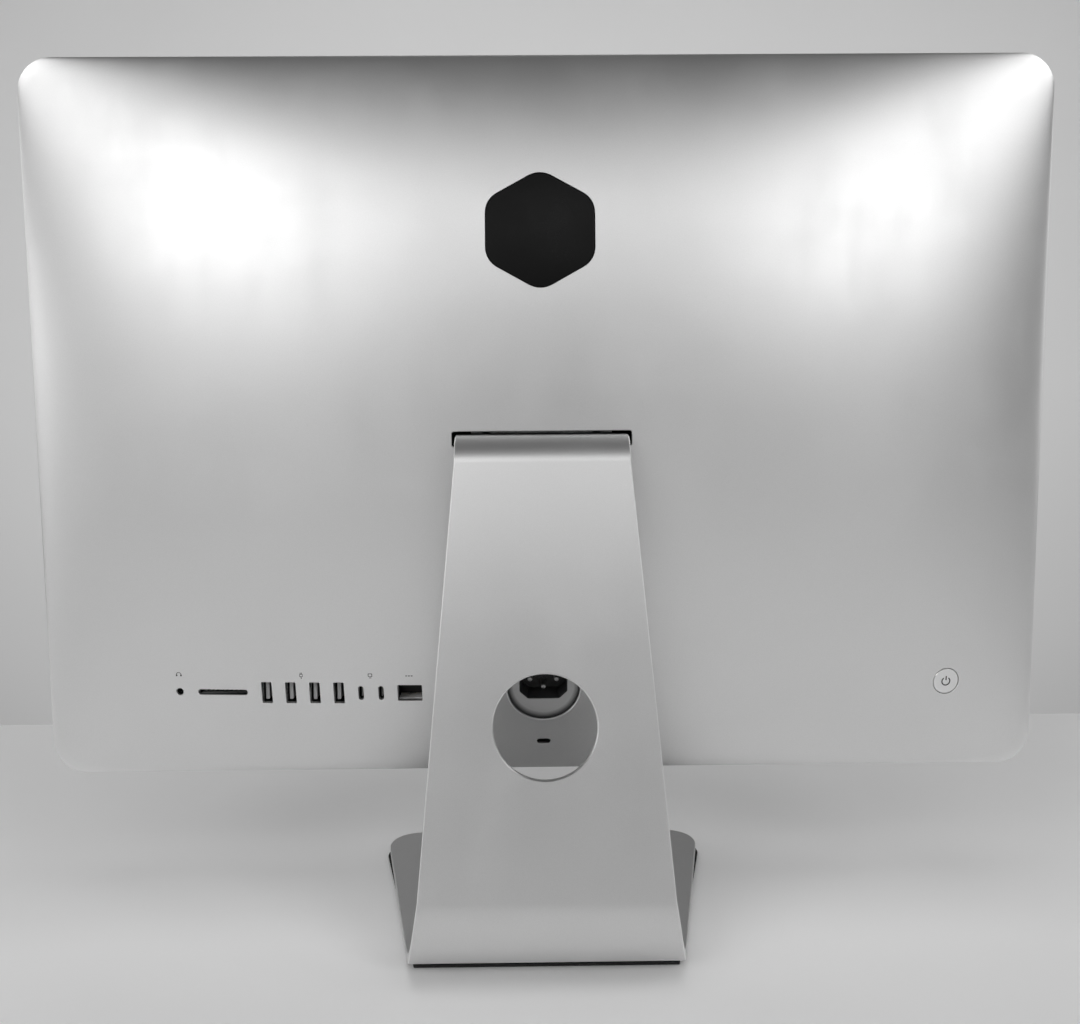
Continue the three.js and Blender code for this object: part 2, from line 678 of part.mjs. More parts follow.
function standScrew(x) {
  const y = TONGUE_END_Y + BRACKET_DEPTH / 2;
  const seat = BASE_Z + BRACKET_BASE + GAP;
  const shank = bar(SCREW_SHANK, TONGUE_TOP - PLATE + GAP, seat + 0.5, "z", x, y, 0, 12);
  return join(bar(SCREW_HEAD, seat, seat + 2.4, "z", x, y, 0, 18), shank);
}

function hingeBlock(side) {
  const x0 = side * BLOCK_X - BLOCK_WIDTH / 2;
  const x1 = side * BLOCK_X + BLOCK_WIDTH / 2;
  const z0 = PIVOT_Z - BLOCK_HEIGHT / 2;
  const z1 = PIVOT_Z + BLOCK_HEIGHT / 2;
  const rear = roomY(x0, x1, z0, z1);
  const body = block(x0, x1, rear - BLOCK_DEPTH, rear, z0, z1);
  return cut(body, bar(SHAFT_RADIUS + RUNNING_GAP, x0 - 1, x1 + 1, "x", 0, PIVOT_Y, PIVOT_Z));
}

class Helix extends THREE.Curve {
  constructor(radius, from, to, turns) {
    super();
    Object.assign(this, { radius, from, to, turns });
  }
  getPoint(t, target = new THREE.Vector3()) {
    const angle = 2 * Math.PI * this.turns * t;
    const x = this.from + (this.to - this.from) * t;
    const y = PIVOT_Y + this.radius * Math.cos(angle);
    return target.set(x, y, PIVOT_Z + this.radius * Math.sin(angle));
  }
}

function torsionSpring(side) {
  const inner = LUG_X + LUG_THICKNESS / 2 + GAP + SPRING_WIRE;
  const outer = BLOCK_X - BLOCK_WIDTH / 2 - GAP - SPRING_WIRE;
  const radius = SHAFT_RADIUS + 2 * GAP + SPRING_WIRE;
  const extrudePath = new Helix(radius, side * inner, side * outer, SPRING_TURNS);
  const wire = new THREE.Shape();
  wire.absarc(0, 0, SPRING_WIRE, 0, 2 * Math.PI);
  const steps = SPRING_TURNS * 10;
  return new THREE.ExtrudeGeometry(wire, { steps, extrudePath, curveSegments: 3 });
}

// A flat ring around the hinge axis.
function washer(side) {
  const inner = SHAFT_RADIUS + RUNNING_GAP;
  const from = side * (BLOCK_X + BLOCK_WIDTH / 2 + GAP);
  const to = from + side * 2;
  const x0 = Math.min(from, to);
  const x1 = Math.max(from, to);
  return cut(
    bar(WASHER_RADIUS, x0, x1, "x", 0, PIVOT_Y, PIVOT_Z),
    bar(inner, x0 - 1, x1 + 1, "x", 0, PIVOT_Y, PIVOT_Z),
  );
}

// ---------------------------------------------------------------- sockets of the back

// A connector can behind the shell: a block on the board with a socket open to the rear.
function connector([width, height], x, z, socketRadius, tongue) {
  const halfW = width / 2 + PORT_WALL;
  const halfH = height / 2 + PORT_WALL;
  const rear = roomY(x - halfW, x + halfW, z - halfH, z + halfH);
  const can = block(x - halfW, x + halfW, PARTS_Y, rear, z - halfH, z + halfH);
  const socket = roundedRectangle(width, height, socketRadius, x, z);
  const floor = PARTS_Y + PORT_WALL;
  const open = cut(can, alongY(socket, floor, rear + 1, 3));
  if (!tongue) return open;
  const [tongueW, tongueH, shift] = tongue;
  const x0 = x + shift - tongueW / 2;
  const z0 = z - tongueH / 2;
  return join(open, block(x0, x0 + tongueW, floor - 0.3, rear - 1.2, z0, z0 + tongueH));
}

function headphoneJack() {
  const half = 3.4;
  const rear = roomY(JACK_X - half, JACK_X + half, PORT_Z - half, PORT_Z + half);
  const can = block(JACK_X - half, JACK_X + half, PARTS_Y, rear, PORT_Z - half, PORT_Z + half);
  const floor = PARTS_Y + PORT_WALL;
  return cut(can, bar(JACK_RADIUS, floor, rear + 1, "y", JACK_X, 0, PORT_Z, 16));
}

function inletOutline(grow) {
  const w = INLET_SOCKET[0] / 2 + grow;
  const h = INLET_SOCKET[1] / 2 + grow;
  const c = INLET_CHAMFER;
  return polygon([
    [w, h],
    [-w, h],
    [-w, -h + c],
    [-w + c, -h],
    [w - c, -h],
    [w, -h + c],
  ]);
}

function inletSocket() {
  const floor = -INLET_RECESS;
  const bottom = floor - INLET_DEPTH;
  const flange = sunk(circle(INLET_FLANGE), floor - 2, floor, inletFrame, 12);
  const well = sunk(inletOutline(1.5), bottom - 1.5, floor - 1, inletFrame);
  const pins = inletPins.map(([, x, z]) => {
    return sunk(shifted(circle(PIN_RADIUS + GAP), x, z), bottom - 3, bottom + 1, inletFrame, 4);
  });
  return cut(join(flange, well), sunk(inletOutline(0), bottom, floor + 1, inletFrame), ...pins);
}

const inletPins = [
  ["inlet_pin_line", -7, 1.2],
  ["inlet_pin_neutral", 7, 1.2],
  ["inlet_pin_earth", 0, -3.2],
];

function inletPin(x, z) {
  const bottom = -INLET_RECESS - INLET_DEPTH;
  return sunk(shifted(circle(PIN_RADIUS), x, z), bottom - 1.5, bottom + 9, inletFrame, 4);
}

// ---------------------------------------------------------------- pieces set in the skin

function skinPiece(shape, ...tools) {
  return cut(common(backSkin, throughBack(shape, 4)), ...tools);
}

function exhaustGrille() {
  const mid = (GRILLE_TOP + GRILLE_BOTTOM) / 2;
  const shape = rectangleAt([2 * GRILLE_HALF, GRILLE_HEIGHT], 0, mid, 3, -GAP);
  const slots = [];
  const last = Math.floor((GRILLE_HALF - 5) / GRILLE_PITCH);
  for (let i = -last; i <= last; i++) {
    const at = i * GRILLE_PITCH;
    const half = GRILLE_PITCH * 0.25;
    const reach = GRILLE_HEIGHT / 2 - 3;
    slots.push(block(at - half, at + half, 0, RIM_BACK_Y + BULGE + 5, mid - reach, mid + reach));
  }
  return skinPiece(shape, ...slots);
}

function radioWindow() {
  const shape = hexagon(EMBLEM_WIDTH - 2 * GAP, EMBLEM_HEIGHT - 2 * GAP, EMBLEM_CORNER);
  return skinPiece(shifted(shape, 0, EMBLEM_Z));
}

function ventGrille(x, length) {
  const z0 = BODY_BOTTOM + RIM_WIDTH + GAP;
  const y0 = VENT_Y - VENT_SLOT / 2 - VENT_FRAME;
  const y1 = VENT_Y + VENT_SLOT / 2 + VENT_FRAME;
  const strip = block(x - length / 2 - 2, x + length / 2 + 2, y0, y1, z0, z0 + 1);
  const slots = [];
  const count = Math.floor(length / VENT_PITCH);
  for (let i = 0; i < count; i++) {
    const at = x + (i - (count - 1) / 2) * VENT_PITCH;
    const half = VENT_PITCH * 0.3;
    slots.push(block(at - half, at + half, y0 + VENT_FRAME, y1 - VENT_FRAME, z0 - 1, z0 + 2));
  }
  return cut(strip, ...slots);
}

function lockPlate() {
  const rear = roomY(-9, 9, LOCK_Z - 5, LOCK_Z + 5);
  const plate = block(-9, 9, rear - 1.5, rear, LOCK_Z - 5, LOCK_Z + 5);
  return cut(plate, throughBack(rectangleAt(LOCK_SLOT, 0, LOCK_Z, 1.4, 0.2), 3));
}

// ---------------------------------------------------------------- power button

function powerSwitch() {
  const top = -BUTTON_THICKNESS - BUTTON_TRAVEL - GAP; // the plunger, clear of the pressed button
  const shape = roundedRectangle(6, 6, 0.6);
  const body = sunk(shape, top - 3, top - 0.7, buttonFrame, 2);
  return join(body, sunk(circle(1.6), top - 1, top, buttonFrame, 4));
}

// ---------------------------------------------------------------- fan

function fanHousing() {
  const y1 = FAN_FRONT + FAN_DEPTH;
  const ductTop = GRILLE_TOP - GAP;
  const mouth = roomY(-DUCT_HALF, DUCT_HALF, GRILLE_BOTTOM, ductTop);
  const inner = FAN_RADIUS - FAN_WALL;
  const innerHalf = DUCT_HALF - FAN_WALL;
  const shell = join(
    bar(FAN_RADIUS, FAN_FRONT, y1, "y", 0, 0, FAN_Z, 40),
    block(-DUCT_HALF, DUCT_HALF, FAN_FRONT, y1, FAN_Z, ductTop),
    block(-DUCT_HALF, DUCT_HALF, FAN_FRONT, mouth, GRILLE_BOTTOM, ductTop),
  );
  const z0 = GRILLE_BOTTOM + FAN_WALL;
  const z1 = ductTop - FAN_WALL;
  return cut(
    shell,
    bar(inner, FAN_FRONT + FAN_WALL, y1 - FAN_WALL, "y", 0, 0, FAN_Z, 40),
    block(-innerHalf, innerHalf, FAN_FRONT + FAN_WALL, y1 - FAN_WALL, FAN_Z, z1),
    block(-innerHalf, innerHalf, FAN_FRONT + FAN_WALL, mouth + 1, z0, z1),
    bar(FAN_EYE, y1 - 3, y1 + 1, "y", 0, 0, FAN_Z, 32),
  );
}

const ROTOR_Y0 = FAN_FRONT + FAN_WALL + 1;
const ROTOR_Y1 = FAN_FRONT + FAN_DEPTH - FAN_WALL - 1;

function fanImpeller() {
  const depth = ROTOR_Y1 - ROTOR_Y0;
  const bore = MOTOR_RADIUS + 2 * GAP;
  const cup = new THREE.LatheGeometry(
    [
      [bore, 0],
      [HUB_RADIUS, 0],
      [HUB_RADIUS, depth],
      [0, depth],
      [0, depth - HUB_WALL],
      [bore, depth - HUB_WALL],
      [bore, 0],
    ].map(([r, y]) => new THREE.Vector2(r, y)),
    24,
  );
  const blades = [];
  const tip = FAN_RADIUS - FAN_WALL - 4;
  for (let i = 0; i < BLADES; i++) {
    const blade = block(HUB_RADIUS - 1, tip, 0, depth - 1, -0.6, 0.6);
    blades.push(blade.rotateY((i * 2 * Math.PI) / BLADES));
  }
  return join(cup, ...blades).translate(0, ROTOR_Y0, FAN_Z);
}

// ---------------------------------------------------------------- electronics

const processorX = BOARD_LEFT_START + PROCESSOR_IN;

function heatsink() {
  const half = HEATSINK_HALF;
  const [x0, x1] = [processorX - half, processorX + half];
  const [z0, z1] = [FAN_Z - half, FAN_Z + half];
  const base = PARTS_Y + PROCESSOR[2] + 2 * GAP;
  const top = Math.min(base + HEATSINK_DEPTH, roomY(x0, x1, z0, z1));
  const each = Math.floor((half - FIN_THICKNESS) / FIN_PITCH);
  const fins = [];
  for (let i = -each; i <= each; i++) {
    const at = processorX + i * FIN_PITCH - FIN_THICKNESS / 2;
    fins.push(block(at, at + FIN_THICKNESS, base + 1, top, z0, z1));
  }
  return join(block(x0, x1, base, base + 2.5, z0, z1), ...fins);
}

function logicBoard() {
  const x0 = BOARD_LEFT_START;
  const x1 = SPEAKER_INNER - 3;
  const socketsX1 = JACK_X + 10; // the strip under the speaker that carries the sockets
  const socketsZ1 = Math.min(PORT_Z + 20, SPEAKER_BOTTOM - 3);
  return join(
    block(x0, x1, BOARD_FRONT_Y, BOARD_BACK_Y, BOARD_BOTTOM, BOARD_TOP),
    block(x0, socketsX1, BOARD_FRONT_Y, BOARD_BACK_Y, BOARD_BOTTOM, socketsZ1),
  );
}

function supplyBoard() {
  const x0 = -(SPEAKER_INNER - 3);
  return block(x0, SUPPLY_START, BOARD_FRONT_Y, BOARD_BACK_Y, SUPPLY_BOTTOM, BOARD_TOP);
}

// A part that stands on a board, centred on (x, z).
function onBoard(x, z, [width, height, thickness]) {
  const y1 = PARTS_Y + thickness;
  return block(x - width / 2, x + width / 2, PARTS_Y, y1, z - height / 2, z + height / 2);
}

function driveBracket() {
  const [width, height, thickness] = DRIVE;
  const x0 = DRIVE_X - width / 2 - GAP - DRIVE_ARM;
  const x1 = DRIVE_X + width / 2 + GAP + DRIVE_ARM;
  const z0 = BODY_TOP - DRIVE_DROP - height / 2;
  const rear = PARTS_Y + thickness * 0.7;
  return join(
    block(x0, x1, BOARD_FRONT_Y, BOARD_BACK_Y, z0, z0 + height),
    block(x0, x0 + DRIVE_ARM, BOARD_FRONT_Y, rear, z0, z0 + height),
    block(x1 - DRIVE_ARM, x1, BOARD_FRONT_Y, rear, z0, z0 + height),
  );
}

function speaker(side) {
  const z1 = SPEAKER_BOTTOM + SPEAKER_HEIGHT;
  const rear = roomY(SPEAKER_INNER, SPEAKER_OUTER, SPEAKER_BOTTOM, z1);
  const x0 = side > 0 ? SPEAKER_INNER : -SPEAKER_OUTER;
  const box = block(x0, x0 + SPEAKER_WIDTH, BOARD_FRONT_Y, rear, SPEAKER_BOTTOM, z1);
  const coneX = x0 + SPEAKER_WIDTH / 2;
  const cone = bar(CONE_RADIUS, rear - 1, rear + 1, "y", coneX, 0, SPEAKER_BOTTOM + CONE_UP, 20);
  return cut(box, cone);
}

// An insulated lead through the points of its route.
function lead(points) {
  const route = points.map(([x, y, z]) => new THREE.Vector3(x, y, z));
  const extrudePath = new THREE.CatmullRomCurve3(route, false, "centripetal");
  const options = { steps: 6 * (points.length - 1), extrudePath, curveSegments: 4 };
  return new THREE.ExtrudeGeometry(circle(LEAD_RADIUS), options);
}

const LEAD_Y = PARTS_Y + LEAD_RADIUS + GAP; // leads lie on the boards and pass in front of the fan

function mainsLead() {
  return lead([
    [-INLET_FLANGE - 3, LEAD_Y, INLET_Z],
    [-INLET_FLANGE - 14, LEAD_Y, INLET_Z + 2],
    [SUPPLY_START - 4, LEAD_Y, INLET_Z + 16],
    [SUPPLY_START - 10, LEAD_Y, INLET_Z + 36],
  ]);
}

function boardLead() {
  return lead([
    [SUPPLY_START - 8, LEAD_Y, FAN_Z - 14],
    [-20, LEAD_Y, FAN_Z - 18],
    [BOARD_LEFT_START - 10, LEAD_Y, FAN_Z - 22],
    [BOARD_LEFT_START + 10, LEAD_Y, FAN_Z - 22],
  ]);
}

// ---------------------------------------------------------------- materials and assembly

function finish(color, roughness, metalness) {
  return new THREE.MeshStandardMaterial({ color, roughness, metalness });
}

const aluminium = finish(0xc9cbcd, 0.42, 0.9);
const steel = finish(0x9aa0a4, 0.35, 1);
const springSteel = finish(0x6d7276, 0.3, 1);
const copper = finish(0xb87348, 0.35, 1);
const brass = finish(0xc8a765, 0.3, 1);
const glassBlack = finish(0x0a0a0c, 0.05, 0);
const panelGrey = finish(0x2a2c30, 0.4, 0.1);
const foam = finish(0x17181a, 0.9, 0);
const rubber = finish(0x121212, 0.8, 0);
const blackPlastic = finish(0x1a1b1d, 0.45, 0);
const greyPlastic = finish(0xaeb0b3, 0.5, 0);
const boardGreen = finish(0x14322a, 0.5, 0);
const chipBlack = finish(0x1d1d20, 0.4, 0);

const computer = new THREE.Group();

function add(name, geometry, material) {
  const mesh = new THREE.Mesh(geometry, material);
  mesh.name = name;
  computer.add(mesh);
}

add("stand_plate", standPlate(), aluminium);
add("foot_pad", footPad(), rubber);
add("hinge_bracket", hingeBracket(), steel);
add("hinge_shaft", bar(SHAFT_RADIUS, -SHAFT_HALF, SHAFT_HALF, "x", 0, PIVOT_Y, PIVOT_Z), steel);
for (const [side, hand] of [
  [1, "left"],
  [-1, "right"],
]) {
  add("stand_screw_" + hand, standScrew(side * SCREW_X), steel);
  add("torsion_spring_" + hand, torsionSpring(side), springSteel);
  add("hinge_block_" + hand, hingeBlock(side), steel);
  add("hinge_washer_" + hand, washer(side), springSteel);
  add("speaker_" + hand, speaker(side), blackPlastic);
}

add("rear_housing", rearHousing(), aluminium);
add("chin_plate", chinPlate(), aluminium);
add("cover_glass", alongY(glassOutline(GLASS_INSET), FRONT_Y, GLASS_BACK_Y), glassBlack);
add("glass_adhesive", glassAdhesive(), foam);
const panelTop = BODY_TOP - BORDER_TOP;
const panelLow = CHIN_TOP + BORDER_LOW;
const panelHalf = HALF_W - BORDER_SIDE;
add(
  "lcd_panel",
  block(-panelHalf, panelHalf, PANEL_FRONT_Y, PANEL_BACK_Y, panelLow, panelTop),
  panelGrey,
);
const cameraZ = BODY_TOP - (BORDER_TOP + RIM_WIDTH) / 2;
const lensBack = PANEL_FRONT_Y + 1;
const [cameraW, cameraH] = CAMERA_BODY;
add(
  "camera_module",
  join(
    block(
      -cameraW / 2,
      cameraW / 2,
      lensBack - 0.2,
      lensBack + 3,
      cameraZ - cameraH / 2,
      cameraZ + cameraH / 2,
    ),
    bar(LENS_RADIUS, PANEL_FRONT_Y, lensBack, "y", 0, 0, cameraZ, 16),
  ),
  chipBlack,
);
add("microphone", bar(2, PANEL_FRONT_Y, lensBack, "y", MICROPHONE_X, 0, cameraZ, 14), chipBlack);
add("radio_window", radioWindow(), glassBlack);
add("exhaust_grille", exhaustGrille(), blackPlastic);
for (const [name, x, length] of ventGroups) add(name, ventGrille(x, length), blackPlastic);
add("lock_plate", lockPlate(), steel);

add("headphone_jack", headphoneJack(), blackPlastic);
add("card_reader", connector(CARD_SLOT, CARD_X, PORT_Z, 1), steel);
usbAPlaces.forEach((x, i) => {
  const tongue = [1.8, USB_A_SLOT[1] - 2, 0.9];
  add("usb_a_port_" + (i + 1), connector(USB_A_SLOT, x, PORT_Z, 0.4, tongue), steel);
});
usbCPlaces.forEach((x, i) => {
  const tongue = [0.7, USB_C_SLOT[1] - 2, 0];
  add("usb_c_port_" + (i + 1), connector(USB_C_SLOT, x, PORT_Z, 1.2, tongue), steel);
});
add("ethernet_port", connector(ETHERNET_SLOT, ETHERNET_X, PORT_Z, 0.5), steel);

add("inlet_socket", inletSocket(), blackPlastic);
for (const [name, x, z] of inletPins) add(name, inletPin(x, z), brass);

add("power_button", sunk(circle(BUTTON_RADIUS), -BUTTON_THICKNESS, 0, buttonFrame, 12), aluminium);
add("power_switch", powerSwitch(), blackPlastic);

add("fan_housing", fanHousing(), blackPlastic);
const motorY0 = FAN_FRONT + FAN_WALL + GAP;
const motorY1 = ROTOR_Y1 - HUB_WALL - 2 * GAP;
add("fan_motor", bar(MOTOR_RADIUS, motorY0, motorY1, "y", 0, 0, FAN_Z, 20), steel);
add("fan_impeller", fanImpeller(), greyPlastic);

add("logic_board", logicBoard(), boardGreen);
add("processor", onBoard(processorX, FAN_Z, PROCESSOR), chipBlack);
add("heatsink", heatsink(), copper);
const memoryEnd = SPEAKER_INNER - 12;
const memoryRoom = memoryEnd - (processorX + HEATSINK_HALF) - 2;
const memoryLength = Math.min(MEMORY[0], memoryRoom);
const memoryX = memoryEnd - memoryLength / 2;
[1, -1].forEach((side, i) => {
  const z = FAN_Z + 4 + side * 18;
  const sizes = [memoryLength, MEMORY[1], MEMORY[2]];
  add("memory_module_" + (i + 1), onBoard(memoryX, z, sizes), boardGreen);
});
const lowRow = FAN_Z - 42;
add("wireless_card", onBoard(BOARD_LEFT_START + 50, lowRow, WIRELESS), boardGreen);
const cellX = BOARD_LEFT_START + CELL_RADIUS + 6;
const cell = bar(CELL_RADIUS, PARTS_Y, PARTS_Y + CELL_THICKNESS, "y", cellX, 0, lowRow, 24);
add("clock_cell", cell, steel);

add("power_supply_board", supplyBoard(), boardGreen);
add("power_transformer", onBoard(SUPPLY_START - PROCESSOR_IN, FAN_Z + 8, TRANSFORMER), chipBlack);
const capacitorX = SUPPLY_START - CAPACITOR_IN;
const capacitorZ0 = FAN_Z - CAPACITOR_LENGTH / 2;
const capacitorZ1 = FAN_Z + CAPACITOR_LENGTH / 2;
const capacitorRoom = roomY(
  capacitorX - CAPACITOR_RADIUS,
  capacitorX + CAPACITOR_RADIUS,
  capacitorZ0,
  capacitorZ1,
);
const capacitorRadius = Math.min(CAPACITOR_RADIUS, (capacitorRoom - PARTS_Y) / 2);
const capacitorY = PARTS_Y + capacitorRadius;
add(
  "power_capacitor",
  bar(capacitorRadius, capacitorZ0, capacitorZ1, "z", capacitorX, capacitorY, 0),
  chipBlack,
);

add("mains_lead", mainsLead(), foam);
add("board_lead", boardLead(), foam);

add("storage_drive", onBoard(DRIVE_X, BODY_TOP - DRIVE_DROP, DRIVE), steel);
add("drive_bracket", driveBracket(), blackPlastic);
const [antennaW, antennaH, antennaT] = ANTENNA;
const antennaZ = [EMBLEM_Z - antennaH / 2, EMBLEM_Z + antennaH / 2];
const antennaY = roomY(-antennaW / 2, antennaW / 2, ...antennaZ);
add(
  "antenna",
  block(-antennaW / 2, antennaW / 2, antennaY - antennaT, antennaY, ...antennaZ),
  greyPlastic,
);

export default computer;
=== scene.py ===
import json
import math

import bmesh
import bpy
import numpy as np
from mathutils import Matrix, Vector

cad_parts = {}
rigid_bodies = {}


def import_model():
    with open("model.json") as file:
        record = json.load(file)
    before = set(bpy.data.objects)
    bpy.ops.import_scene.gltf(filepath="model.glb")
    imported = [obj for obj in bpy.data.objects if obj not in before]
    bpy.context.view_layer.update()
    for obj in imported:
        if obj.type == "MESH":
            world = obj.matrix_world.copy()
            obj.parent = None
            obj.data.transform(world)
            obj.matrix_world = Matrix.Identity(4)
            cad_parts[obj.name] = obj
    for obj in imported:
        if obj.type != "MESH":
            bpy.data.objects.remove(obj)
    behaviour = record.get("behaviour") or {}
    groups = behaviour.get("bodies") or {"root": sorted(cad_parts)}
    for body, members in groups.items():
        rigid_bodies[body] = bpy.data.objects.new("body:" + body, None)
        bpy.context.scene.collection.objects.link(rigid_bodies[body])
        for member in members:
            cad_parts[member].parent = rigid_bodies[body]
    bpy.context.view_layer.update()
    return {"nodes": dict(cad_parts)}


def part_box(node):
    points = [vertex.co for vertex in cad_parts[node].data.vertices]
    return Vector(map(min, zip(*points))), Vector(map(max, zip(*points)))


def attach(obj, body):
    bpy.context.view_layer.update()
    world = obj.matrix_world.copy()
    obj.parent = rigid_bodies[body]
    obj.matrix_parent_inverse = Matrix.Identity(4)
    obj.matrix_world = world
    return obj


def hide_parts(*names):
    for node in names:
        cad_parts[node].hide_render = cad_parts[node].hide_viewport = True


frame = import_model()

# Millimetres in the row frame: +Z up, the screen faces -Y, the sockets face +Y.
MM = 0.001
HALF_W = 264.0
HALF_H = 186.15
MID_Z = 263.85
LOW_Z = MID_Z - HALF_H
TOP_Z = MID_Z + HALF_H
CORNER = 18.0
RIM_Y = -4.0
SHELL_FRONT = -6.7
REBATE_Y = -5.9
WALL = 1.8
FRONT_Y = -9.0
GLASS_BACK = -7.0
PORT_Z = 125.0
LEAN = 0.19981
PLATE = 4.7
PAD = 2.0
FOOT_FRONT_Y = -87.5
FOOT_BACK_Y = 51.7
FOOT_FRONT_HALF = 97.0
FOOT_BACK_HALF = 70.0
FOOT_CORNER = 22.0
HOLE_RADIUS = 24.6


def dome(x, z):
    """Rear face of the body over (x, z)."""
    across = np.maximum(0.0, 1 - np.abs(np.asarray(x) / HALF_W) ** 2)
    upright = np.maximum(0.0, 1 - np.abs((np.asarray(z) - MID_Z) / HALF_H) ** 2.3)
    return RIM_Y + 34.0 * (across * upright) ** 0.7


def dome_normal(x, z):
    """Outward unit normals of the dome, one row for each point."""
    x, z = np.atleast_1d(np.asarray(x, float)), np.atleast_1d(np.asarray(z, float))
    e = 0.02
    sx = (dome(x + e, z) - dome(x - e, z)) / (2 * e)
    sz = (dome(x, z + e) - dome(x, z - e)) / (2 * e)
    n = np.stack([-sx, np.ones_like(sx), -sz], -1)
    return n / np.linalg.norm(n, axis=1, keepdims=True)


# ------------------------------------------------------------------ mesh helpers


def new_object(name, verts, faces, materials=(), body=None):
    mesh = bpy.data.meshes.new(name)
    mesh.from_pydata([tuple(float(c) * MM for c in v) for v in verts], [], faces)
    bm = bmesh.new()
    bm.from_mesh(mesh)
    bmesh.ops.remove_doubles(bm, verts=bm.verts, dist=1e-7)
    bmesh.ops.recalc_face_normals(bm, faces=bm.faces)
    bm.to_mesh(mesh)
    bm.free()
    ob = bpy.data.objects.new(name, mesh)
    bpy.context.scene.collection.objects.link(ob)
    for m in materials:
        mesh.materials.append(m)
    if body:
        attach(ob, body)
    return ob


def stack(rings, first="fan", last="fan", wrap=True):
    """A skin over rings of equal length; its ends are closed by a fan, one face or not at all."""
    rings = [np.asarray(r, float) for r in rings]
    n = len(rings[0])
    verts = [v for r in rings for v in r]
    faces = []
    for k in range(len(rings) - 1):
        for i in range(n if wrap else n - 1):
            j = (i + 1) % n
            a, b = k * n, (k + 1) * n
            faces.append((a + i, a + j, b + j, b + i))
    for ring, start, way in ((rings[0], 0, first), (rings[-1], (len(rings) - 1) * n, last)):
        if way == "fan":
            hub = len(verts)
            verts.append(ring.mean(0))
            faces += [(start + i, start + (i + 1) % n, hub) for i in range(n)]
        elif way == "face":
            faces.append(tuple(range(start, start + n)))
    return verts, faces


def merge(*parts):
    verts, faces = [], []
    for v, f in parts:
        base = len(verts)
        verts += list(v)
        faces += [tuple(base + i for i in face) for face in f]
    return verts, faces


def at_y(outline, y):
    """An outline in X and Z as a ring at y, which is one number or one for each point."""
    return np.column_stack([outline[:, 0], np.broadcast_to(y, (len(outline),)), outline[:, 1]])


def box_part(x0, x1, y0, y1, z0, z1, bevel=0.0):
    """A box, with its edges along Y rounded off by a chamfer."""
    b = bevel
    ring = [
        (x0 + b, z0), (x1 - b, z0), (x1, z0 + b), (x1, z1 - b),
        (x1 - b, z1), (x0 + b, z1), (x0, z1 - b), (x0, z0 + b),
    ] if b else [(x0, z0), (x1, z0), (x1, z1), (x0, z1)]
    ring = np.array(ring)
    return stack([at_y(ring, y0), at_y(ring, y1)], "face", "face")


def round_corners(w, h, radius, arc, counts, cx=0.0, cz=0.0):
    """Quarter circles about the corners of a 2w by 2h rectangle, with points along each side between them."""
    pts = []
    for turn, (sx, sz) in enumerate(((1, 1), (-1, 1), (-1, -1), (1, -1))):
        for i in range(arc + 1):
            a = (turn + i / arc) * math.pi / 2
            pts.append((cx + sx * w + radius * math.cos(a), cz + sz * h + radius * math.sin(a)))
        length, count = 2 * (w, h)[turn % 2], counts[turn % 2]
        direction = ((-1, 0), (0, -1), (1, 0), (0, 1))[turn]
        px, pz = pts[-1]
        for i in range(1, count):
            s = length * i / count
            pts.append((px + direction[0] * s, pz + direction[1] * s))
    return np.array(pts)


def rounded(width, height, radius, cx=0.0, cz=0.0, step=1.5, arc=6):
    """Outline of a rounded rectangle in X and Z, with points along its sides every step."""
    w, h = width / 2 - radius, height / 2 - radius
    counts = [max(1, int(round(2 * half / step))) for half in (w, h)]
    return round_corners(w, h, radius, arc, counts, cx, cz)


def circle(radius, cx=0.0, cz=0.0, count=64):
    a = np.arange(count) * 2 * math.pi / count
    return np.column_stack([cx + radius * np.cos(a), cz + radius * np.sin(a)])


def offset(outline, d):
    """The closed outline moved outward by d."""
    p = np.asarray(outline, float)
    tangent = np.roll(p, -1, 0) - np.roll(p, 1, 0)
    tangent /= np.linalg.norm(tangent, axis=1, keepdims=True)
    normal = np.column_stack([tangent[:, 1], -tangent[:, 0]])
    area = 0.5 * np.sum(p[:, 0] * np.roll(p[:, 1], -1) - np.roll(p[:, 0], -1) * p[:, 1])
    return p + normal * d * (1 if area > 0 else -1)


def toward(p, q, distance):
    """The point at a distance from p on the way to q."""
    return p + (q - p) / np.linalg.norm(q - p) * distance


def bend(enter, p, leave, steps):
    """Points of the curve that rounds corner p."""
    fractions = [k / steps for k in range(steps + 1)]
    return [(1 - t) ** 2 * enter + 2 * t * (1 - t) * p + t * t * leave for t in fractions]


def hexagon(width, height, corner, cz, steps=8, along=10):
    """A pointed-up hexagon with rounded corners."""
    pts = []
    spread = width / 2 / math.cos(math.pi / 6)
    tips = [
        np.array([spread * math.cos(a), height / 2 * math.sin(a)])
        for a in (math.pi / 2 + i * math.pi / 3 for i in range(6))
    ]
    for i, p in enumerate(tips):
        before, after = tips[i - 1], tips[(i + 1) % 6]
        leave = toward(p, after, corner)
        pts += bend(toward(p, before, corner), p, leave, steps)
        following = toward(after, p, corner)
        for k in range(1, along):
            pts.append(leave + (following - leave) * k / along)
    out = np.array(pts)
    out[:, 1] += cz
    return out


def place(x, z):
    """Frame of a feature that sits square to the dome: columns across, up, outward and the place."""
    n = dome_normal(x, z)[0]
    up = np.array([0, 0, 1.0]) - n * n[2]
    up /= np.linalg.norm(up)
    across = np.cross(up, n)
    return across, up, n, np.array([x, float(dome(x, z)), z])


def local(frame_, outline, depth):
    across, up, n, at = frame_
    o = np.asarray(outline, float)
    d = np.broadcast_to(np.asarray(depth, float), (len(o),))
    return at + o[:, :1] * across + o[:, 1:] * up + d[:, None] * n


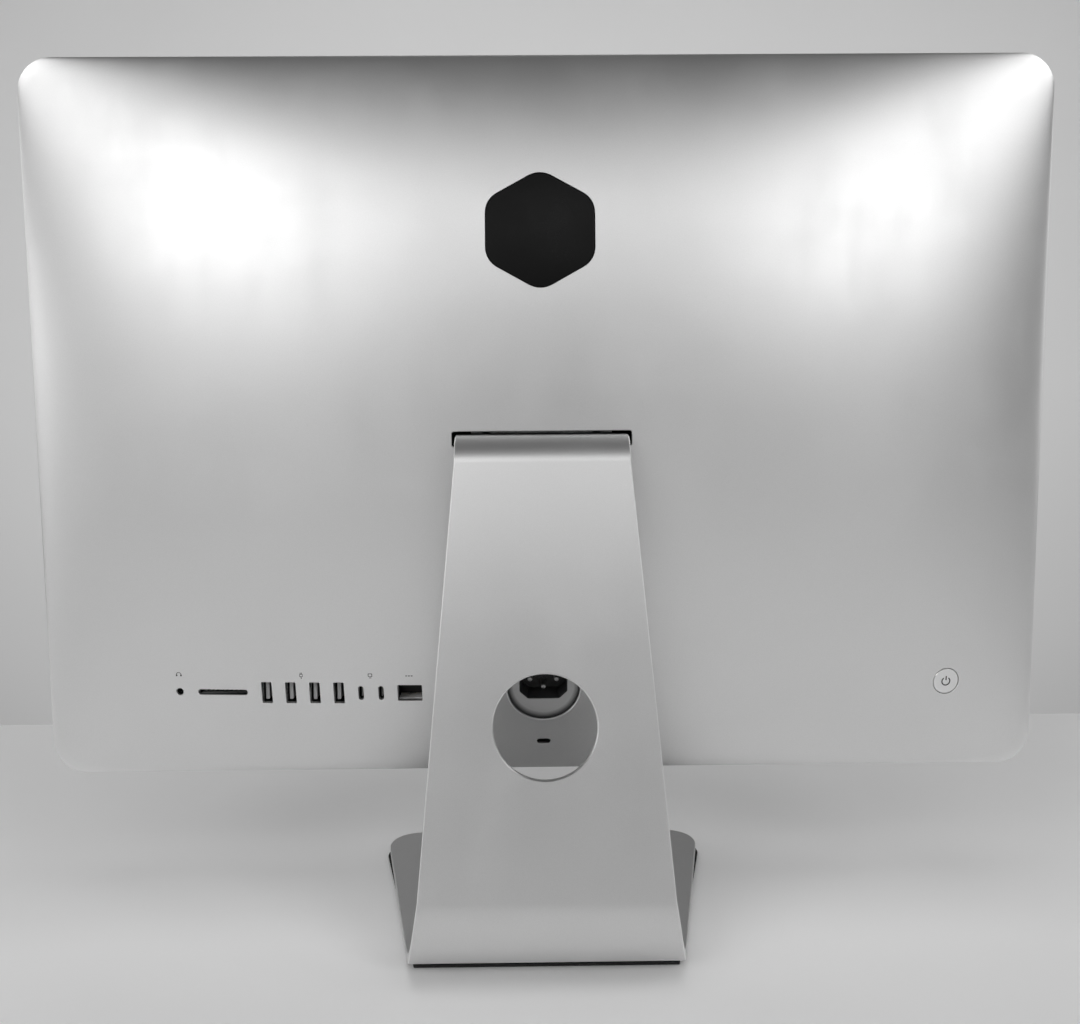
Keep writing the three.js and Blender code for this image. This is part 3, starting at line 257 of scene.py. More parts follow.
def surface_depth(frame_, outline):
    """How far along the frame's normal the dome is, over each point of the outline."""
    p = local(frame_, outline, 0.0)
    n = frame_[2]
    d = np.zeros(len(p))
    for _ in range(4):
        q = p + d[:, None] * n
        d += (dome(q[:, 0], q[:, 2]) - q[:, 1]) * n[1]
    return d


def boolean(ob, cutters, operation="DIFFERENCE"):
    """Cuts ob by one object made of the cutter parts."""
    verts, faces = merge(*cutters)
    tool = new_object(ob.name + "_tool", verts, faces)
    mod = ob.modifiers.new("cut", "BOOLEAN")
    mod.operation, mod.solver, mod.object = operation, "EXACT", tool
    mod.use_self = False
    dg = bpy.context.evaluated_depsgraph_get()
    dg.update()
    mesh = bpy.data.meshes.new_from_object(ob.evaluated_get(dg))
    old = ob.data
    ob.modifiers.clear()
    ob.data = mesh
    mesh.name = ob.name
    bpy.data.meshes.remove(old)
    tool_mesh = tool.data
    bpy.data.objects.remove(tool)
    bpy.data.meshes.remove(tool_mesh)
    return ob


def shade(ob, angle=28.0, dome_shift=None, tolerance=0.02):
    """Smooth shading up to an angle. Faces on the dome, moved by dome_shift, get its true normals."""
    mesh = ob.data
    mesh.polygons.foreach_set("use_smooth", np.ones(len(mesh.polygons), bool))
    mesh.set_sharp_from_angle(angle=math.radians(angle))
    if dome_shift is None:
        return ob
    normals = np.zeros(len(mesh.loops) * 3, np.float32)
    mesh.corner_normals.foreach_get("vector", normals)
    normals = normals.reshape(-1, 3)
    co = np.zeros(len(mesh.vertices) * 3, np.float32)
    mesh.vertices.foreach_get("co", co)
    co = co.reshape(-1, 3).astype(float) / MM
    on = np.abs(co[:, 1] - (dome(co[:, 0], co[:, 2]) + dome_shift)) < tolerance
    true = dome_normal(co[:, 0], co[:, 2])
    index = np.zeros(len(mesh.loops), np.int32)
    mesh.loops.foreach_get("vertex_index", index)
    start = np.zeros(len(mesh.polygons), np.int32)
    total = np.zeros(len(mesh.polygons), np.int32)
    mesh.polygons.foreach_get("loop_start", start)
    mesh.polygons.foreach_get("loop_total", total)
    poly = np.repeat(np.arange(len(start)), total)
    all_on = np.ones(len(start), bool)
    np.logical_and.at(all_on, poly, on[index])
    face_normals = np.zeros(len(start) * 3, np.float32)
    mesh.polygons.foreach_get("normal", face_normals)
    outward = np.einsum("ij,ij->i", face_normals.reshape(-1, 3)[poly], true[index]) > 0.6
    use = all_on[poly] & outward
    normals[use] = true[index][use]
    mesh.normals_split_custom_set(normals.tolist())
    return ob


# ------------------------------------------------------------------ materials


class Nodes:
    """A small builder of shader node trees."""

    def __init__(self, name):
        self.material = bpy.data.materials.new(name)
        self.material.use_nodes = True
        self.tree = self.material.node_tree
        self.tree.nodes.clear()
        self.out = self.tree.nodes.new("ShaderNodeOutputMaterial")
        self.bsdf = self.tree.nodes.new("ShaderNodeBsdfPrincipled")
        self.link(self.bsdf.outputs["BSDF"], self.out.inputs["Surface"])
        self.coords = self.tree.nodes.new("ShaderNodeTexCoord").outputs["Object"]

    def link(self, a, b):
        self.tree.links.new(a, b)

    def set(self, **values):
        for key, value in values.items():
            self.bsdf.inputs[key.replace("_", " ")].default_value = value
        return self

    def noise(self, scale, detail=3.0, rough=0.55, stretch=None, offset_by=(0, 0, 0)):
        vector = self.coords
        if stretch or any(offset_by):
            mapping = self.tree.nodes.new("ShaderNodeMapping")
            mapping.inputs["Scale"].default_value = stretch or (1, 1, 1)
            mapping.inputs["Location"].default_value = offset_by
            self.link(vector, mapping.inputs["Vector"])
            vector = mapping.outputs["Vector"]
        node = self.tree.nodes.new("ShaderNodeTexNoise")
        node.inputs["Scale"].default_value = scale
        node.inputs["Detail"].default_value = detail
        node.inputs["Roughness"].default_value = rough
        self.link(vector, node.inputs["Vector"])
        return node.outputs["Fac"]

    def voronoi(self, scale):
        node = self.tree.nodes.new("ShaderNodeTexVoronoi")
        node.inputs["Scale"].default_value = scale
        self.link(self.coords, node.inputs["Vector"])
        return node.outputs["Distance"]

    def ramp(self, fac, *stops):
        node = self.tree.nodes.new("ShaderNodeValToRGB")
        elements = node.color_ramp.elements
        while len(elements) < len(stops):
            elements.new(0.5)
        for element, (position, colour) in zip(elements, stops):
            element.position = position
            element.color = (*colour, 1.0) if len(colour) == 3 else colour
        self.link(fac, node.inputs["Fac"])
        return node.outputs["Color"]

    def spread(self, fac, low, high, from_low=0.3, from_high=0.7):
        node = self.tree.nodes.new("ShaderNodeMapRange")
        node.inputs["From Min"].default_value = from_low
        node.inputs["From Max"].default_value = from_high
        node.inputs["To Min"].default_value = low
        node.inputs["To Max"].default_value = high
        self.link(fac, node.inputs["Value"])
        return node.outputs["Result"]

    def math(self, operation, a, b=None):
        node = self.tree.nodes.new("ShaderNodeMath")
        node.operation = operation
        for i, value in enumerate((a, b)):
            if value is None:
                continue
            if isinstance(value, (int, float)):
                node.inputs[i].default_value = value
            else:
                self.link(value, node.inputs[i])
        return node.outputs[0]

    def vector(self, operation, a, b=None):
        node = self.tree.nodes.new("ShaderNodeVectorMath")
        node.operation = operation
        self.link(a, node.inputs[0])
        if b is not None:
            node.inputs[1].default_value = tuple(b)
        return node

    def mix(self, fac, a, b):
        node = self.tree.nodes.new("ShaderNodeMix")
        node.data_type = "RGBA"
        self.link(fac, node.inputs["Factor"])
        for socket, value in (("A", a), ("B", b)):
            target = [s for s in node.inputs if s.name == socket and s.type == "RGBA"][0]
            if isinstance(value, tuple):
                target.default_value = (*value, 1.0)
            else:
                self.link(value, target)
        return [s for s in node.outputs if s.type == "RGBA"][0]

    def bump(self, height, strength, distance, after=None):
        node = self.tree.nodes.new("ShaderNodeBump")
        node.inputs["Strength"].default_value = strength
        node.inputs["Distance"].default_value = distance
        self.link(height, node.inputs["Height"])
        if after is not None:
            self.link(after, node.inputs["Normal"])
        self.link(node.outputs["Normal"], self.bsdf.inputs["Normal"])
        return node.outputs["Normal"]

    def wire(self, **links):
        for key, socket in links.items():
            self.link(socket, self.bsdf.inputs[key.replace("_", " ")])
        return self


def grey(v):
    return (v, v, v)


def blasted_aluminium(name, value=0.74, rough=0.40, polished_below=None):
    """Bead-blasted and anodised: even grain, faint clouding and smears, polished up to a given Y."""
    m = Nodes(name).set(Metallic=1.0)
    cloud = m.noise(9.0, 3.0)
    grain = m.noise(2600.0, 2.0, 0.6)
    beads = m.noise(1100.0, 3.0, 0.7, offset_by=(0.2, 0.5, 0.1))
    smear = m.noise(26.0, 4.0, 0.6, stretch=(1.0, 1.0, 0.35), offset_by=(0.3, 0.1, 0.7))
    wipe = m.noise(7.0, 5.0, 0.62, stretch=(1.0, 1.0, 2.6), offset_by=(0.9, 0.4, 0.2))
    base = m.ramp(cloud, (0.3, grey(value * 0.972)), (0.7, grey(value * 1.022)))
    speck = m.ramp(grain, (0.25, grey(value * 0.92)), (0.75, grey(value * 1.06)))
    colour = m.mix(m.spread(beads, 0.30, 0.70), base, speck)
    r = m.math("ADD", m.spread(grain, rough - 0.03, rough + 0.03), m.spread(smear, -0.015, 0.025, 0.45, 0.75))
    r = m.math("ADD", r, m.spread(wipe, -0.012, 0.022, 0.4, 0.7))
    if polished_below is not None:
        split = m.tree.nodes.new("ShaderNodeSeparateXYZ")
        m.link(m.coords, split.inputs["Vector"])
        edge = m.spread(split.outputs["Y"], 1.0, 0.0, polished_below - 0.0006, polished_below + 0.0012)
        worn = m.math("MULTIPLY", edge, m.spread(m.noise(55.0, 4.0, 0.6), 0.55, 1.0, 0.35, 0.65))
        colour = m.mix(worn, colour, grey(min(0.92, value * 1.12)))
        r = m.math("SUBTRACT", r, m.math("MULTIPLY", worn, 0.10))
    m.wire(Base_Color=colour, Roughness=r)
    fine = m.bump(grain, 0.14, 0.00006)
    m.bump(beads, 0.05, 0.0001, after=fine)
    return m.material


def cut_aluminium(name, value=0.86):
    """Diamond-cut edge: brighter and smoother, with fine tool lines."""
    m = Nodes(name).set(Metallic=1.0)
    lines = m.noise(3200.0, 2.0, 0.5, stretch=(0.05, 1.0, 1.0))
    m.wire(
        Base_Color=m.ramp(lines, (0.3, grey(value * 0.95)), (0.7, grey(value))),
        Roughness=m.spread(lines, 0.30, 0.38),
    )
    m.bump(lines, 0.05, 0.00003)
    return m.material


def plated_steel(name, value=0.56, rough=0.28):
    """Rolled and plated sheet: fine brushing along X and faint blotches."""
    m = Nodes(name).set(Metallic=1.0)
    brush = m.noise(1500.0, 3.0, 0.6, stretch=(0.06, 1.0, 1.0))
    blotch = m.noise(60.0, 3.0)
    m.wire(
        Base_Color=m.mix(blotch, grey(value * 0.9), grey(value * 1.06)),
        Roughness=m.math("ADD", m.spread(brush, rough - 0.05, rough + 0.07), m.spread(blotch, -0.03, 0.05)),
    )
    m.bump(brush, 0.08, 0.00004)
    return m.material


def plain_metal(name, colour, rough):
    m = Nodes(name).set(Metallic=1.0)
    blotch = m.noise(240.0, 3.0)
    dark = tuple(c * 0.86 for c in colour)
    m.wire(Base_Color=m.mix(blotch, dark, colour), Roughness=m.spread(blotch, rough - 0.05, rough + 0.06))
    m.bump(m.noise(1800.0, 2.0), 0.06, 0.00004)
    return m.material


def moulded_plastic(name, colour, rough=0.45, grain=900.0, depth=0.00006):
    """Moulded plastic with a fine spark-eroded grain."""
    m = Nodes(name)
    tone = m.noise(35.0, 3.0)
    fine = m.noise(grain, 3.0, 0.6)
    dark = tuple(c * 0.85 for c in colour)
    light = tuple(min(1.0, c * 1.12 + 0.002) for c in colour)
    m.wire(Base_Color=m.mix(tone, dark, light), Roughness=m.spread(fine, rough - 0.06, rough + 0.08))
    m.bump(fine, 0.25, depth)
    return m.material


def resin_with_painted_rim_shade(name, centre, axis):
    """Pale resin with painted shade: it darkens towards the outer wall of the bowl, where the wall of the
    hole lies in shade.
    """
    m = Nodes(name)
    shifted = m.vector("SUBTRACT", m.coords, [c * MM for c in centre])
    turned = m.vector("CROSS_PRODUCT", shifted.outputs["Vector"], axis)
    length = m.vector("LENGTH", turned.outputs["Vector"])
    fine = m.noise(1400.0, 3.0)
    # Painted shade: the colour goes from pale to near black between 16.0 and 18.3 mm from the inlet's axis.
    rim_shade = m.spread(length.outputs["Value"], 0.0, 1.0, 0.0160, 0.0183)
    m.wire(Base_Color=m.mix(rim_shade, grey(0.62), grey(0.035)), Roughness=m.spread(fine, 0.34, 0.46))
    m.bump(fine, 0.15, 0.00003)
    return m.material


def soft_rubber(name):
    """Foam-backed silicone with dust in its pores."""
    m = Nodes(name)
    pores = m.noise(1400.0, 3.0, 0.65)
    dust = m.noise(70.0, 4.0, 0.6)
    m.wire(
        Base_Color=m.mix(m.spread(dust, 0.0, 0.5, 0.5, 0.8), grey(0.012), grey(0.045)),
        Roughness=m.spread(pores, 0.7, 0.9),
    )
    m.bump(pores, 0.35, 0.0001)
    return m.material


def gloss_black(name):
    """Polished black resin, a touch satin, with a hint of dust."""
    m = Nodes(name).set(IOR=1.22)
    dust = m.noise(900.0, 4.0, 0.7)
    m.wire(
        Base_Color=m.ramp(dust, (0.55, grey(0.002)), (0.8, grey(0.006))),
        Roughness=m.spread(m.noise(40.0, 3.0), 0.26, 0.34),
    )
    return m.material


def screen_glass(name):
    """Cover glass over a dark panel: the inked border is a little blacker than the panel inside it."""
    m = Nodes(name).set(IOR=1.52, Coat_Weight=1.0, Coat_Roughness=0.02)
    split = m.tree.nodes.new("ShaderNodeSeparateXYZ")
    m.link(m.coords, split.inputs["Vector"])
    inside_x = m.math("LESS_THAN", m.math("ABSOLUTE", split.outputs["X"]), 0.240)
    height = m.math("ABSOLUTE", m.math("SUBTRACT", split.outputs["Z"], 0.2925))
    inside_z = m.math("LESS_THAN", height, 0.136)
    inside = m.math("MULTIPLY", inside_x, inside_z)
    cells = m.noise(4000.0, 1.0)
    panel = m.ramp(cells, (0.3, (0.011, 0.011, 0.013)), (0.7, (0.015, 0.0155, 0.018)))
    smudge = m.noise(14.0, 5.0, 0.65)
    m.wire(
        Base_Color=m.mix(inside, (0.0022, 0.0022, 0.0025), panel),
        Roughness=m.spread(smudge, 0.035, 0.085, 0.4, 0.75),
    )
    return m.material


def circuit_board(name):
    m = Nodes(name)
    tracks = m.voronoi(420.0)
    tone = m.noise(60.0, 3.0)
    board = m.mix(tone, (0.010, 0.045, 0.032), (0.016, 0.070, 0.050))
    colour = m.mix(m.spread(tracks, 0.0, 0.6, 0.25, 0.4), board, (0.03, 0.10, 0.07))
    m.wire(Base_Color=colour, Roughness=m.spread(tone, 0.35, 0.5))
    m.bump(tracks, 0.2, 0.00008)
    return m.material


ALUMINIUM = blasted_aluminium("blasted_aluminium", 0.76, 0.45, RIM_Y * MM)
BUTTON_ALUMINIUM = blasted_aluminium("button_aluminium", 0.84, 0.42)
STAND_ALUMINIUM = blasted_aluminium("stand_aluminium", 0.73, 0.43)
CUT = cut_aluminium("cut_edge")
STEEL = plated_steel("plated_steel")
DARK_STEEL = plated_steel("dark_steel", 0.22, 0.38)
SPRING = plain_metal("spring_steel", grey(0.42), 0.25)
COPPER = plain_metal("copper", (0.72, 0.36, 0.22), 0.3)
GOLD = plain_metal("gold_contacts", (0.80, 0.58, 0.26), 0.24)
NICKEL = plain_metal("nickel", grey(0.66), 0.22)
BLACK_PLASTIC = moulded_plastic("black_plastic", grey(0.014))
WHITE_PLASTIC = moulded_plastic("pale_plastic", grey(0.78), 0.4)
GREY_PLASTIC = moulded_plastic("grey_plastic", grey(0.42), 0.42)
WELL_GREY = moulded_plastic("well_resin", grey(0.06), 0.45, 1400.0, 0.00003)
PIN_METAL = plain_metal("pin_metal", grey(0.50), 0.36)
MARK_GREY = moulded_plastic("mark_ink", grey(0.035), 0.55)
RUBBER = soft_rubber("foot_rubber")
GLOSS = gloss_black("gloss_black")
SCREEN = screen_glass("screen_glass")
BOARD = circuit_board("circuit_board")
CARD_GREY = moulded_plastic("card_resin", grey(0.30), 0.5, 1200.0)
CHIP = moulded_plastic("chip_resin", grey(0.02), 0.5, 1200.0)
FOAM = moulded_plastic("foam", grey(0.02), 0.85, 1100.0, 0.0001)

# ------------------------------------------------------------------ cutters of the back

USB_A = [144.4 - 12.65 * i for i in range(4)]
USB_C = [94.9, 84.4]
SLOT_Z = 256.7
EMBLEM_Z = TOP_Z - 91.3
GRILLE_Z = 228.5
LOCK_Z = 95.9
INLET = place(0.0, 127.5)
BUTTON = place(-214.0, 125.7)


def back_cutter(outline, chamfer):
    """A cutter along Y whose mouth flares by the chamfer where it meets the dome."""
    mouth = dome(outline[:, 0], outline[:, 1]) - chamfer
    if not chamfer:
        return stack([at_y(outline, -2.0), at_y(outline, mouth + 4.0)], "face", "face")
    wide = offset(outline, 2 * chamfer)
    flare = dome(wide[:, 0], wide[:, 1]) + chamfer
    rings = [at_y(outline, -2.0), at_y(outline, mouth), at_y(wide, flare), at_y(wide, flare + 3.0)]
    return stack(rings, "face", "fan")


def square_cutter(frame_, outline, depth, chamfer):
    """The same, square to the dome."""
    wide = offset(outline, 2 * chamfer)
    near = surface_depth(frame_, outline) - chamfer
    far = surface_depth(frame_, wide) + chamfer
    rings = [
        local(frame_, outline, -depth),
        local(frame_, outline, near),
        local(frame_, wide, far),
        local(frame_, wide, far + 3.0),
    ]
    return stack(rings, "face", "fan")


def housing_cutters():
    cutters = [
        back_cutter(rounded(89.2, 7.6, 1.2, 0, SLOT_Z, 2.0), 0.3),
        back_cutter(rounded(26.3, 2.9, 1.3, 167.8, PORT_Z, 1.5), 0.18),
        back_cutter(rounded(12.7, 8.8, 0.5, 69.4, PORT_Z, 1.5, 3), 0.15),
        back_cutter(rounded(7.4, 3.0, 1.45, 0, LOCK_Z, 1.5), 0.12),
        back_cutter(rounded(72.0, 24.0, 3.0, 0, GRILLE_Z, 2.0), 0.0),
        back_cutter(hexagon(54.0, 60.0, 7.0, EMBLEM_Z), 0.1),
        back_cutter(circle(1.85, 190.9, PORT_Z, 32), 0.3),
        square_cutter(INLET, circle(19.0, count=96), 13.0, 0.45),
        square_cutter(BUTTON, circle(7.2, count=72), 9.0, 0.14),
    ]
    cutters += [back_cutter(rounded(5.4, 11.6, 0.4, x, PORT_Z, 1.5, 3), 0.14) for x in USB_A]
    cutters += [back_cutter(rounded(2.7, 7.6, 1.3, x, PORT_Z, 1.5, 5), 0.14) for x in USB_C]
    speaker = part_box("speaker_grille_left")
    speaker_x = abs(speaker[0].x + speaker[1].x) / 2 / MM
    for x, length in ((speaker_x, 84.0), (0.0, 150.0), (-speaker_x, 84.0)):
        cutters.append(slot_cutter(x, length))
    return cutters


def slot_cutter(x, length):
    """A vent slot through the bottom edge, with round ends."""
    outline = rounded(length, 1.8, 0.89, x, -4.6, 3.0)
    rings = [np.column_stack([outline[:, 0], outline[:, 1], np.full(len(outline), z)]) for z in (72.0, 87.0)]
    return stack(rings, "face", "face")


# ------------------------------------------------------------------ housing


def body_outline(inset, per_width=96, per_height=72, per_corner=12):
    r = max(2.0, CORNER - inset)
    hw, hh = HALF_W - inset, HALF_H - inset
    return round_corners(hw - r, hh - r, r, per_corner, (per_width, per_height))


def at_height(outline, y):
    """The same for an outline about the middle of the body."""
    return at_y(np.column_stack([outline[:, 0], outline[:, 1] + MID_Z]), y)


def rear_housing():
    rings = []
    edge = body_outline(0.0)
    count = 60
    for k in range(1, count + 1):
        t = 1 - (1 - k / count) ** 1.9
        ring = edge * t
        rings.append(at_height(ring, dome(ring[:, 0], ring[:, 1] + MID_Z)))
    rings.append(at_height(edge, SHELL_FRONT + 0.3))
    rings.append(at_height(body_outline(0.3), SHELL_FRONT))
    rings.append(at_height(body_outline(3.0), SHELL_FRONT))
    rings.append(at_height(body_outline(3.0), REBATE_Y))
    inner = body_outline(8.5)
    rings.append(at_height(inner, REBATE_Y))
    inner_count = 16
    for k in range(inner_count, 0, -1):
        t = 1 - (1 - k / inner_count) ** 1.7
        ring = inner * t
        rings.append(at_height(ring, dome(ring[:, 0], ring[:, 1] + MID_Z) - WALL))
    ob = new_object("housing_shell", *stack(rings), [ALUMINIUM], None)
    boolean(ob, housing_cutters())
    shade(ob, 30.0, 0.0)
    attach(ob, "display")
    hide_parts("rear_housing")
    return ob


def dome_patch(name, outline, centre, shift, bevel, thick, material, body, node=None, rings_n=18):
    """A piece set in the back that follows the dome, with a rounded edge."""
    centre = np.array(centre, float)
    rings = []
    inner = offset(outline, -bevel)
    for k in range(1, rings_n + 1):
        ring = centre + (inner - centre) * k / rings_n
        rings.append(at_y(ring, dome(ring[:, 0], ring[:, 1]) + shift))
    for a in (0.35, 0.7, 1.0):
        ring = offset(outline, -bevel * (1 - math.sin(a * math.pi / 2)))
        drop = bevel * (1 - math.cos(a * math.pi / 2))
        rings.append(at_y(ring, dome(ring[:, 0], ring[:, 1]) + shift - drop))
    rings.append(at_y(outline, dome(outline[:, 0], outline[:, 1]) - thick))
    ob = new_object(name, *stack(rings, "fan", "face"), [material], None)
    shade(ob, 40.0, shift)
    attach(ob, body)
    if node:
        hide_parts(node)
    return ob


def grille_insert():
    outline = rounded(71.4, 23.4, 2.7, 0, GRILLE_Z, 2.0)
    ob = dome_patch("exhaust_insert", outline, (0, GRILLE_Z), -0.1, 0.25, 1.7, BLACK_PLASTIC, "display")
    cutters = []
    for i in range(-15, 16):
        o = rounded(1.2, 18.4, 0.59, i * 2.15, GRILLE_Z, 4.0, 4)
        cutters.append(stack([at_y(o, 20.0), at_y(o, 34.0)], "face", "face"))
    parent = ob.parent
    ob.parent = None
    boolean(ob, cutters)
    shade(ob, 40.0, -0.1)
    ob.parent = parent
    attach(ob, "display")
    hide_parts("exhaust_grille")
    return ob


# ------------------------------------------------------------------ screen side


def corner_arcs(*corners):
    """An outline of quarter circles: each has its centre in X and Z, its radius and its first angle."""
    pts = []
    for cx, cz, radius, a0 in corners:
        for i in range(17):
            a = math.radians(a0 + 90 * i / 16)
            pts.append((cx + radius * math.cos(a), cz + radius * math.sin(a)))
    return np.array(pts)


def glass_outline(inset, low, low_radius=0.4):
    top = TOP_Z - inset
    half = HALF_W - inset
    r = CORNER - inset
    return corner_arcs(
        (half - r, top - r, r, 0.0),
        (-half + r, top - r, r, 90.0),
        (-half + low_radius, low + low_radius, low_radius, 180.0),
        (half - low_radius, low + low_radius, low_radius, 270.0),
    )


def slab(outline, y_front, y_back, bevel, name, material, body, node, back_bevel=0.1):
    rings = []
    for inset, y in (
        (bevel, y_front),
        (bevel * 0.3, y_front + bevel * 0.3),
        (0.0, y_front + bevel),
        (0.0, y_back - back_bevel),
        (back_bevel, y_back),
    ):
        rings.append(at_y(offset(outline, -inset), y))
    ob = new_object(name, *stack(rings, "face", "face"), [material], None)
    shade(ob, 35.0)
    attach(ob, body)
    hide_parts(node)
    return ob


def chin_outline():
    top = LOW_Z + 57.0
    r = CORNER
    return corner_arcs(
        (HALF_W - 0.3, top - 0.3, 0.3, 0.0),
        (-HALF_W + 0.3, top - 0.3, 0.3, 90.0),
        (-HALF_W + r, LOW_Z + r, r, 180.0),
        (HALF_W - r, LOW_Z + r, r, 270.0),
    )


def lens():
    """The camera's window in the border of the glass: a ring and a domed lens, almost flush."""
    cz = (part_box("camera_module")[0].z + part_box("camera_module")[1].z) / 2 / MM
    rings = []
    window = (0.4, -9.025), (1.1, -9.02), (1.55, -9.01)
    ring = (1.6, -9.03), (2.15, -9.03), (2.25, -9.01), (2.25, -8.9)
    for r, y in window + ring:
        rings.append(at_y(circle(r, 0, cz, 40), y))
    ob = new_object("camera_lens", *stack(rings, "fan", "face"), [GLOSS], None)
    shade(ob, 20.0)
    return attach(ob, "display")


# ------------------------------------------------------------------ stand


def stand():
    """The bent plate with a small chamfer along every edge, and the chamfered cable hole."""
    low_r, top_r = 35.79, 16.0
    low_c = np.array([FOOT_BACK_Y, 37.8])
    slot_y = float(dome(0.0, SLOT_Z))
    tongue_top = 258.8
    top_c = np.array([slot_y + 0.4, tongue_top - top_r])
    end_y = slot_y - 29.0
    sections = []

    def add(y, z, angle, half):
        sections.append((y, z, angle, half))

    front, back = FOOT_FRONT_Y, low_c[0]
    taper = (FOOT_BACK_HALF - FOOT_FRONT_HALF) / (back - front)
    for i in range(17):
        turn = i / 16 * math.pi / 2
        s = FOOT_CORNER * (1 - math.cos(turn))
        half = FOOT_FRONT_HALF + taper * s - FOOT_CORNER * (1 - math.sin(turn))
        add(front + s, PAD, -math.pi / 2, half)
    foot_rows = 6
    for i in range(1, foot_rows):
        y = front + FOOT_CORNER + (back - front - FOOT_CORNER) * i / foot_rows
        add(y, PAD, -math.pi / 2, FOOT_FRONT_HALF + taper * (y - front))
    for i in range(41):
        a = -math.pi / 2 + (LEAN + math.pi / 2) * i / 40
        half = 70.0 + (60.1 - 70.0) * i / 40
        add(low_c[0] + low_r * math.cos(a), low_c[1] + low_r * math.sin(a), a, half)
    for i in range(29):
        a = LEAN + (math.pi / 2 - LEAN) * i / 28
        add(top_c[0] + top_r * math.cos(a), top_c[1] + top_r * math.sin(a), a, 42.6)
    add(end_y + 0.4, tongue_top, math.pi / 2, 42.6)
    c = 0.45
    rings = []
    for i, (y, z, a, half) in enumerate(sections):
        out = np.array([math.cos(a), math.sin(a)])
        points = [(half - c, 0.0), (half, c), (half, PLATE - c), (half - c, PLATE)]
        ring = []
        for x, d in points:
            ring.append((x, y - out[0] * d, z - out[1] * d))
        for x, d in reversed(points):
            ring.append((-x, y - out[0] * d, z - out[1] * d))
        rings.append(np.array(ring))
    verts, faces = stack(rings, "face", "face")
    ob = new_object("stand_body", verts, faces, [STAND_ALUMINIUM, CUT], None)
    centre_y = low_c[0] + low_r * math.cos(LEAN) - 79.9 * math.sin(LEAN)
    centre_z = low_c[1] + low_r * math.sin(LEAN) + 79.9 * math.cos(LEAN)
    out = np.array([0.0, math.cos(LEAN), math.sin(LEAN)])
    up = np.array([0.0, -math.sin(LEAN), math.cos(LEAN)])
    at = np.array([0.0, centre_y, centre_z])
    o = circle(1.0, count=128)

    def disc(r, d):
        return at + o[:, :1] * r * np.array([1.0, 0, 0]) + o[:, 1:] * r * up + d * out

    ch = 0.55
    rings = [
        disc(HOLE_RADIUS + 3 * ch, 2 * ch),
        disc(HOLE_RADIUS + 2 * ch, ch),
        disc(HOLE_RADIUS, -ch),
        disc(HOLE_RADIUS, -PLATE + ch),
        disc(HOLE_RADIUS + 2 * ch, -PLATE - ch),
        disc(HOLE_RADIUS + 3 * ch, -PLATE - 2 * ch),
    ]
    boolean(ob, [stack(rings, "face", "face")])
    shade(ob, 24.0)
    mark_chamfers(ob, 1.2)
    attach(ob, "stand")
    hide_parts("stand_plate")
    return ob


def mark_chamfers(ob, widest):
    """Gives the second material to the narrow faces along the edges."""
    for p in ob.data.polygons:
        if len(p.vertices) != 4:
            continue
        co = [ob.data.vertices[i].co for i in p.vertices]
        sides = [(co[i] - co[(i + 1) % 4]).length / MM for i in range(4)]
        a, b = (sides[0] + sides[2]) / 2, (sides[1] + sides[3]) / 2
        if min(a, b) < widest and abs(p.normal.x) > 0.3 and abs(p.normal.x) < 0.95:
            p.material_index = 1
    centre = Vector((0, 0.0709, 0.1232))
    out = Vector((0, math.cos(LEAN), math.sin(LEAN)))
    for p in ob.data.polygons:
        r = p.center - centre
        along = r.dot(out)
        radial = (r - out * along).length
        if abs(radial - 0.0246) < 0.0009 and 0.25 < abs(p.normal.dot(out)) < 0.95:
            p.material_index = 1


def foot_pad():
    inset = 3.0
    front, back = -87.5 + inset, 51.7 + 9.8
    wide, narrow = 97.0 - inset, 70.0 - inset - 27.0 / 139.2 * 9.8
    r = 22.0 - inset
    pts = [(-narrow, back), (-wide, front + r)]
    for i in range(1, 13):
        t = i / 12
        pts.append(((1 - t) ** 2 * -wide + 2 * t * (1 - t) * -wide + t * t * (-wide + r),
                    (1 - t) ** 2 * (front + r) + 2 * t * (1 - t) * front + t * t * front))
    for i in range(0, 13):
        t = i / 12
        pts.append(((1 - t) ** 2 * (wide - r) + 2 * t * (1 - t) * wide + t * t * wide,
                    (1 - t) ** 2 * front + 2 * t * (1 - t) * front + t * t * (front + r)))
    pts.append((narrow, back))
    outline = np.array(pts)
    rings = []
    for d, z in ((-0.7, 0.0), (-0.2, 0.25), (0.0, 0.7), (0.0, 1.7)):
        o = offset(outline, d)
        rings.append(np.column_stack([o[:, 0], o[:, 1], np.full(len(o), z)]))
    ob = new_object("foot_sole", *stack(rings, "face", "face"), [RUBBER], None)
    shade(ob, 35.0)
    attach(ob, "stand")
    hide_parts("foot_pad")
    return ob


# ------------------------------------------------------------------ sockets


def socket_can(name, node, outline, floor, material, tip=None, wall=0.55):
    """The metal can of a connector: a rolled sleeve with a closed floor."""
    lo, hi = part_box(node)
    y0, y1 = lo.y / MM, hi.y / MM
    lip = wall * 0.4
    rings = [
        at_y(offset(outline, wall), y0),
        at_y(offset(outline, wall), y1 - lip),
        at_y(offset(outline, wall - lip), y1),
        at_y(offset(outline, lip), y1),
        at_y(outline, y1 - lip),
        at_y(outline, y0 + floor),
    ]
    ob = new_object(name, *stack(rings, "face", "face"), [material, BLACK_PLASTIC], None)
    low, high = outline.min(0) - 0.08, outline.max(0) + 0.08
    for p in ob.data.polygons:
        at = p.center / MM
        if low[0] < at.x < high[0] and low[1] < at.z < high[1] and y0 + 0.5 < at.y < y1 - lip * 0.6:
            p.material_index = 1
    shade(ob, 40.0)
    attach(ob, "display")
    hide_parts(node)
    return ob


def detail(name, parts, material, body="display", slot_name=None, angle=35.0):
    ob = new_object(name, *merge(*parts), [material], None)
    shade(ob, angle)
    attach(ob, body)
    return ob


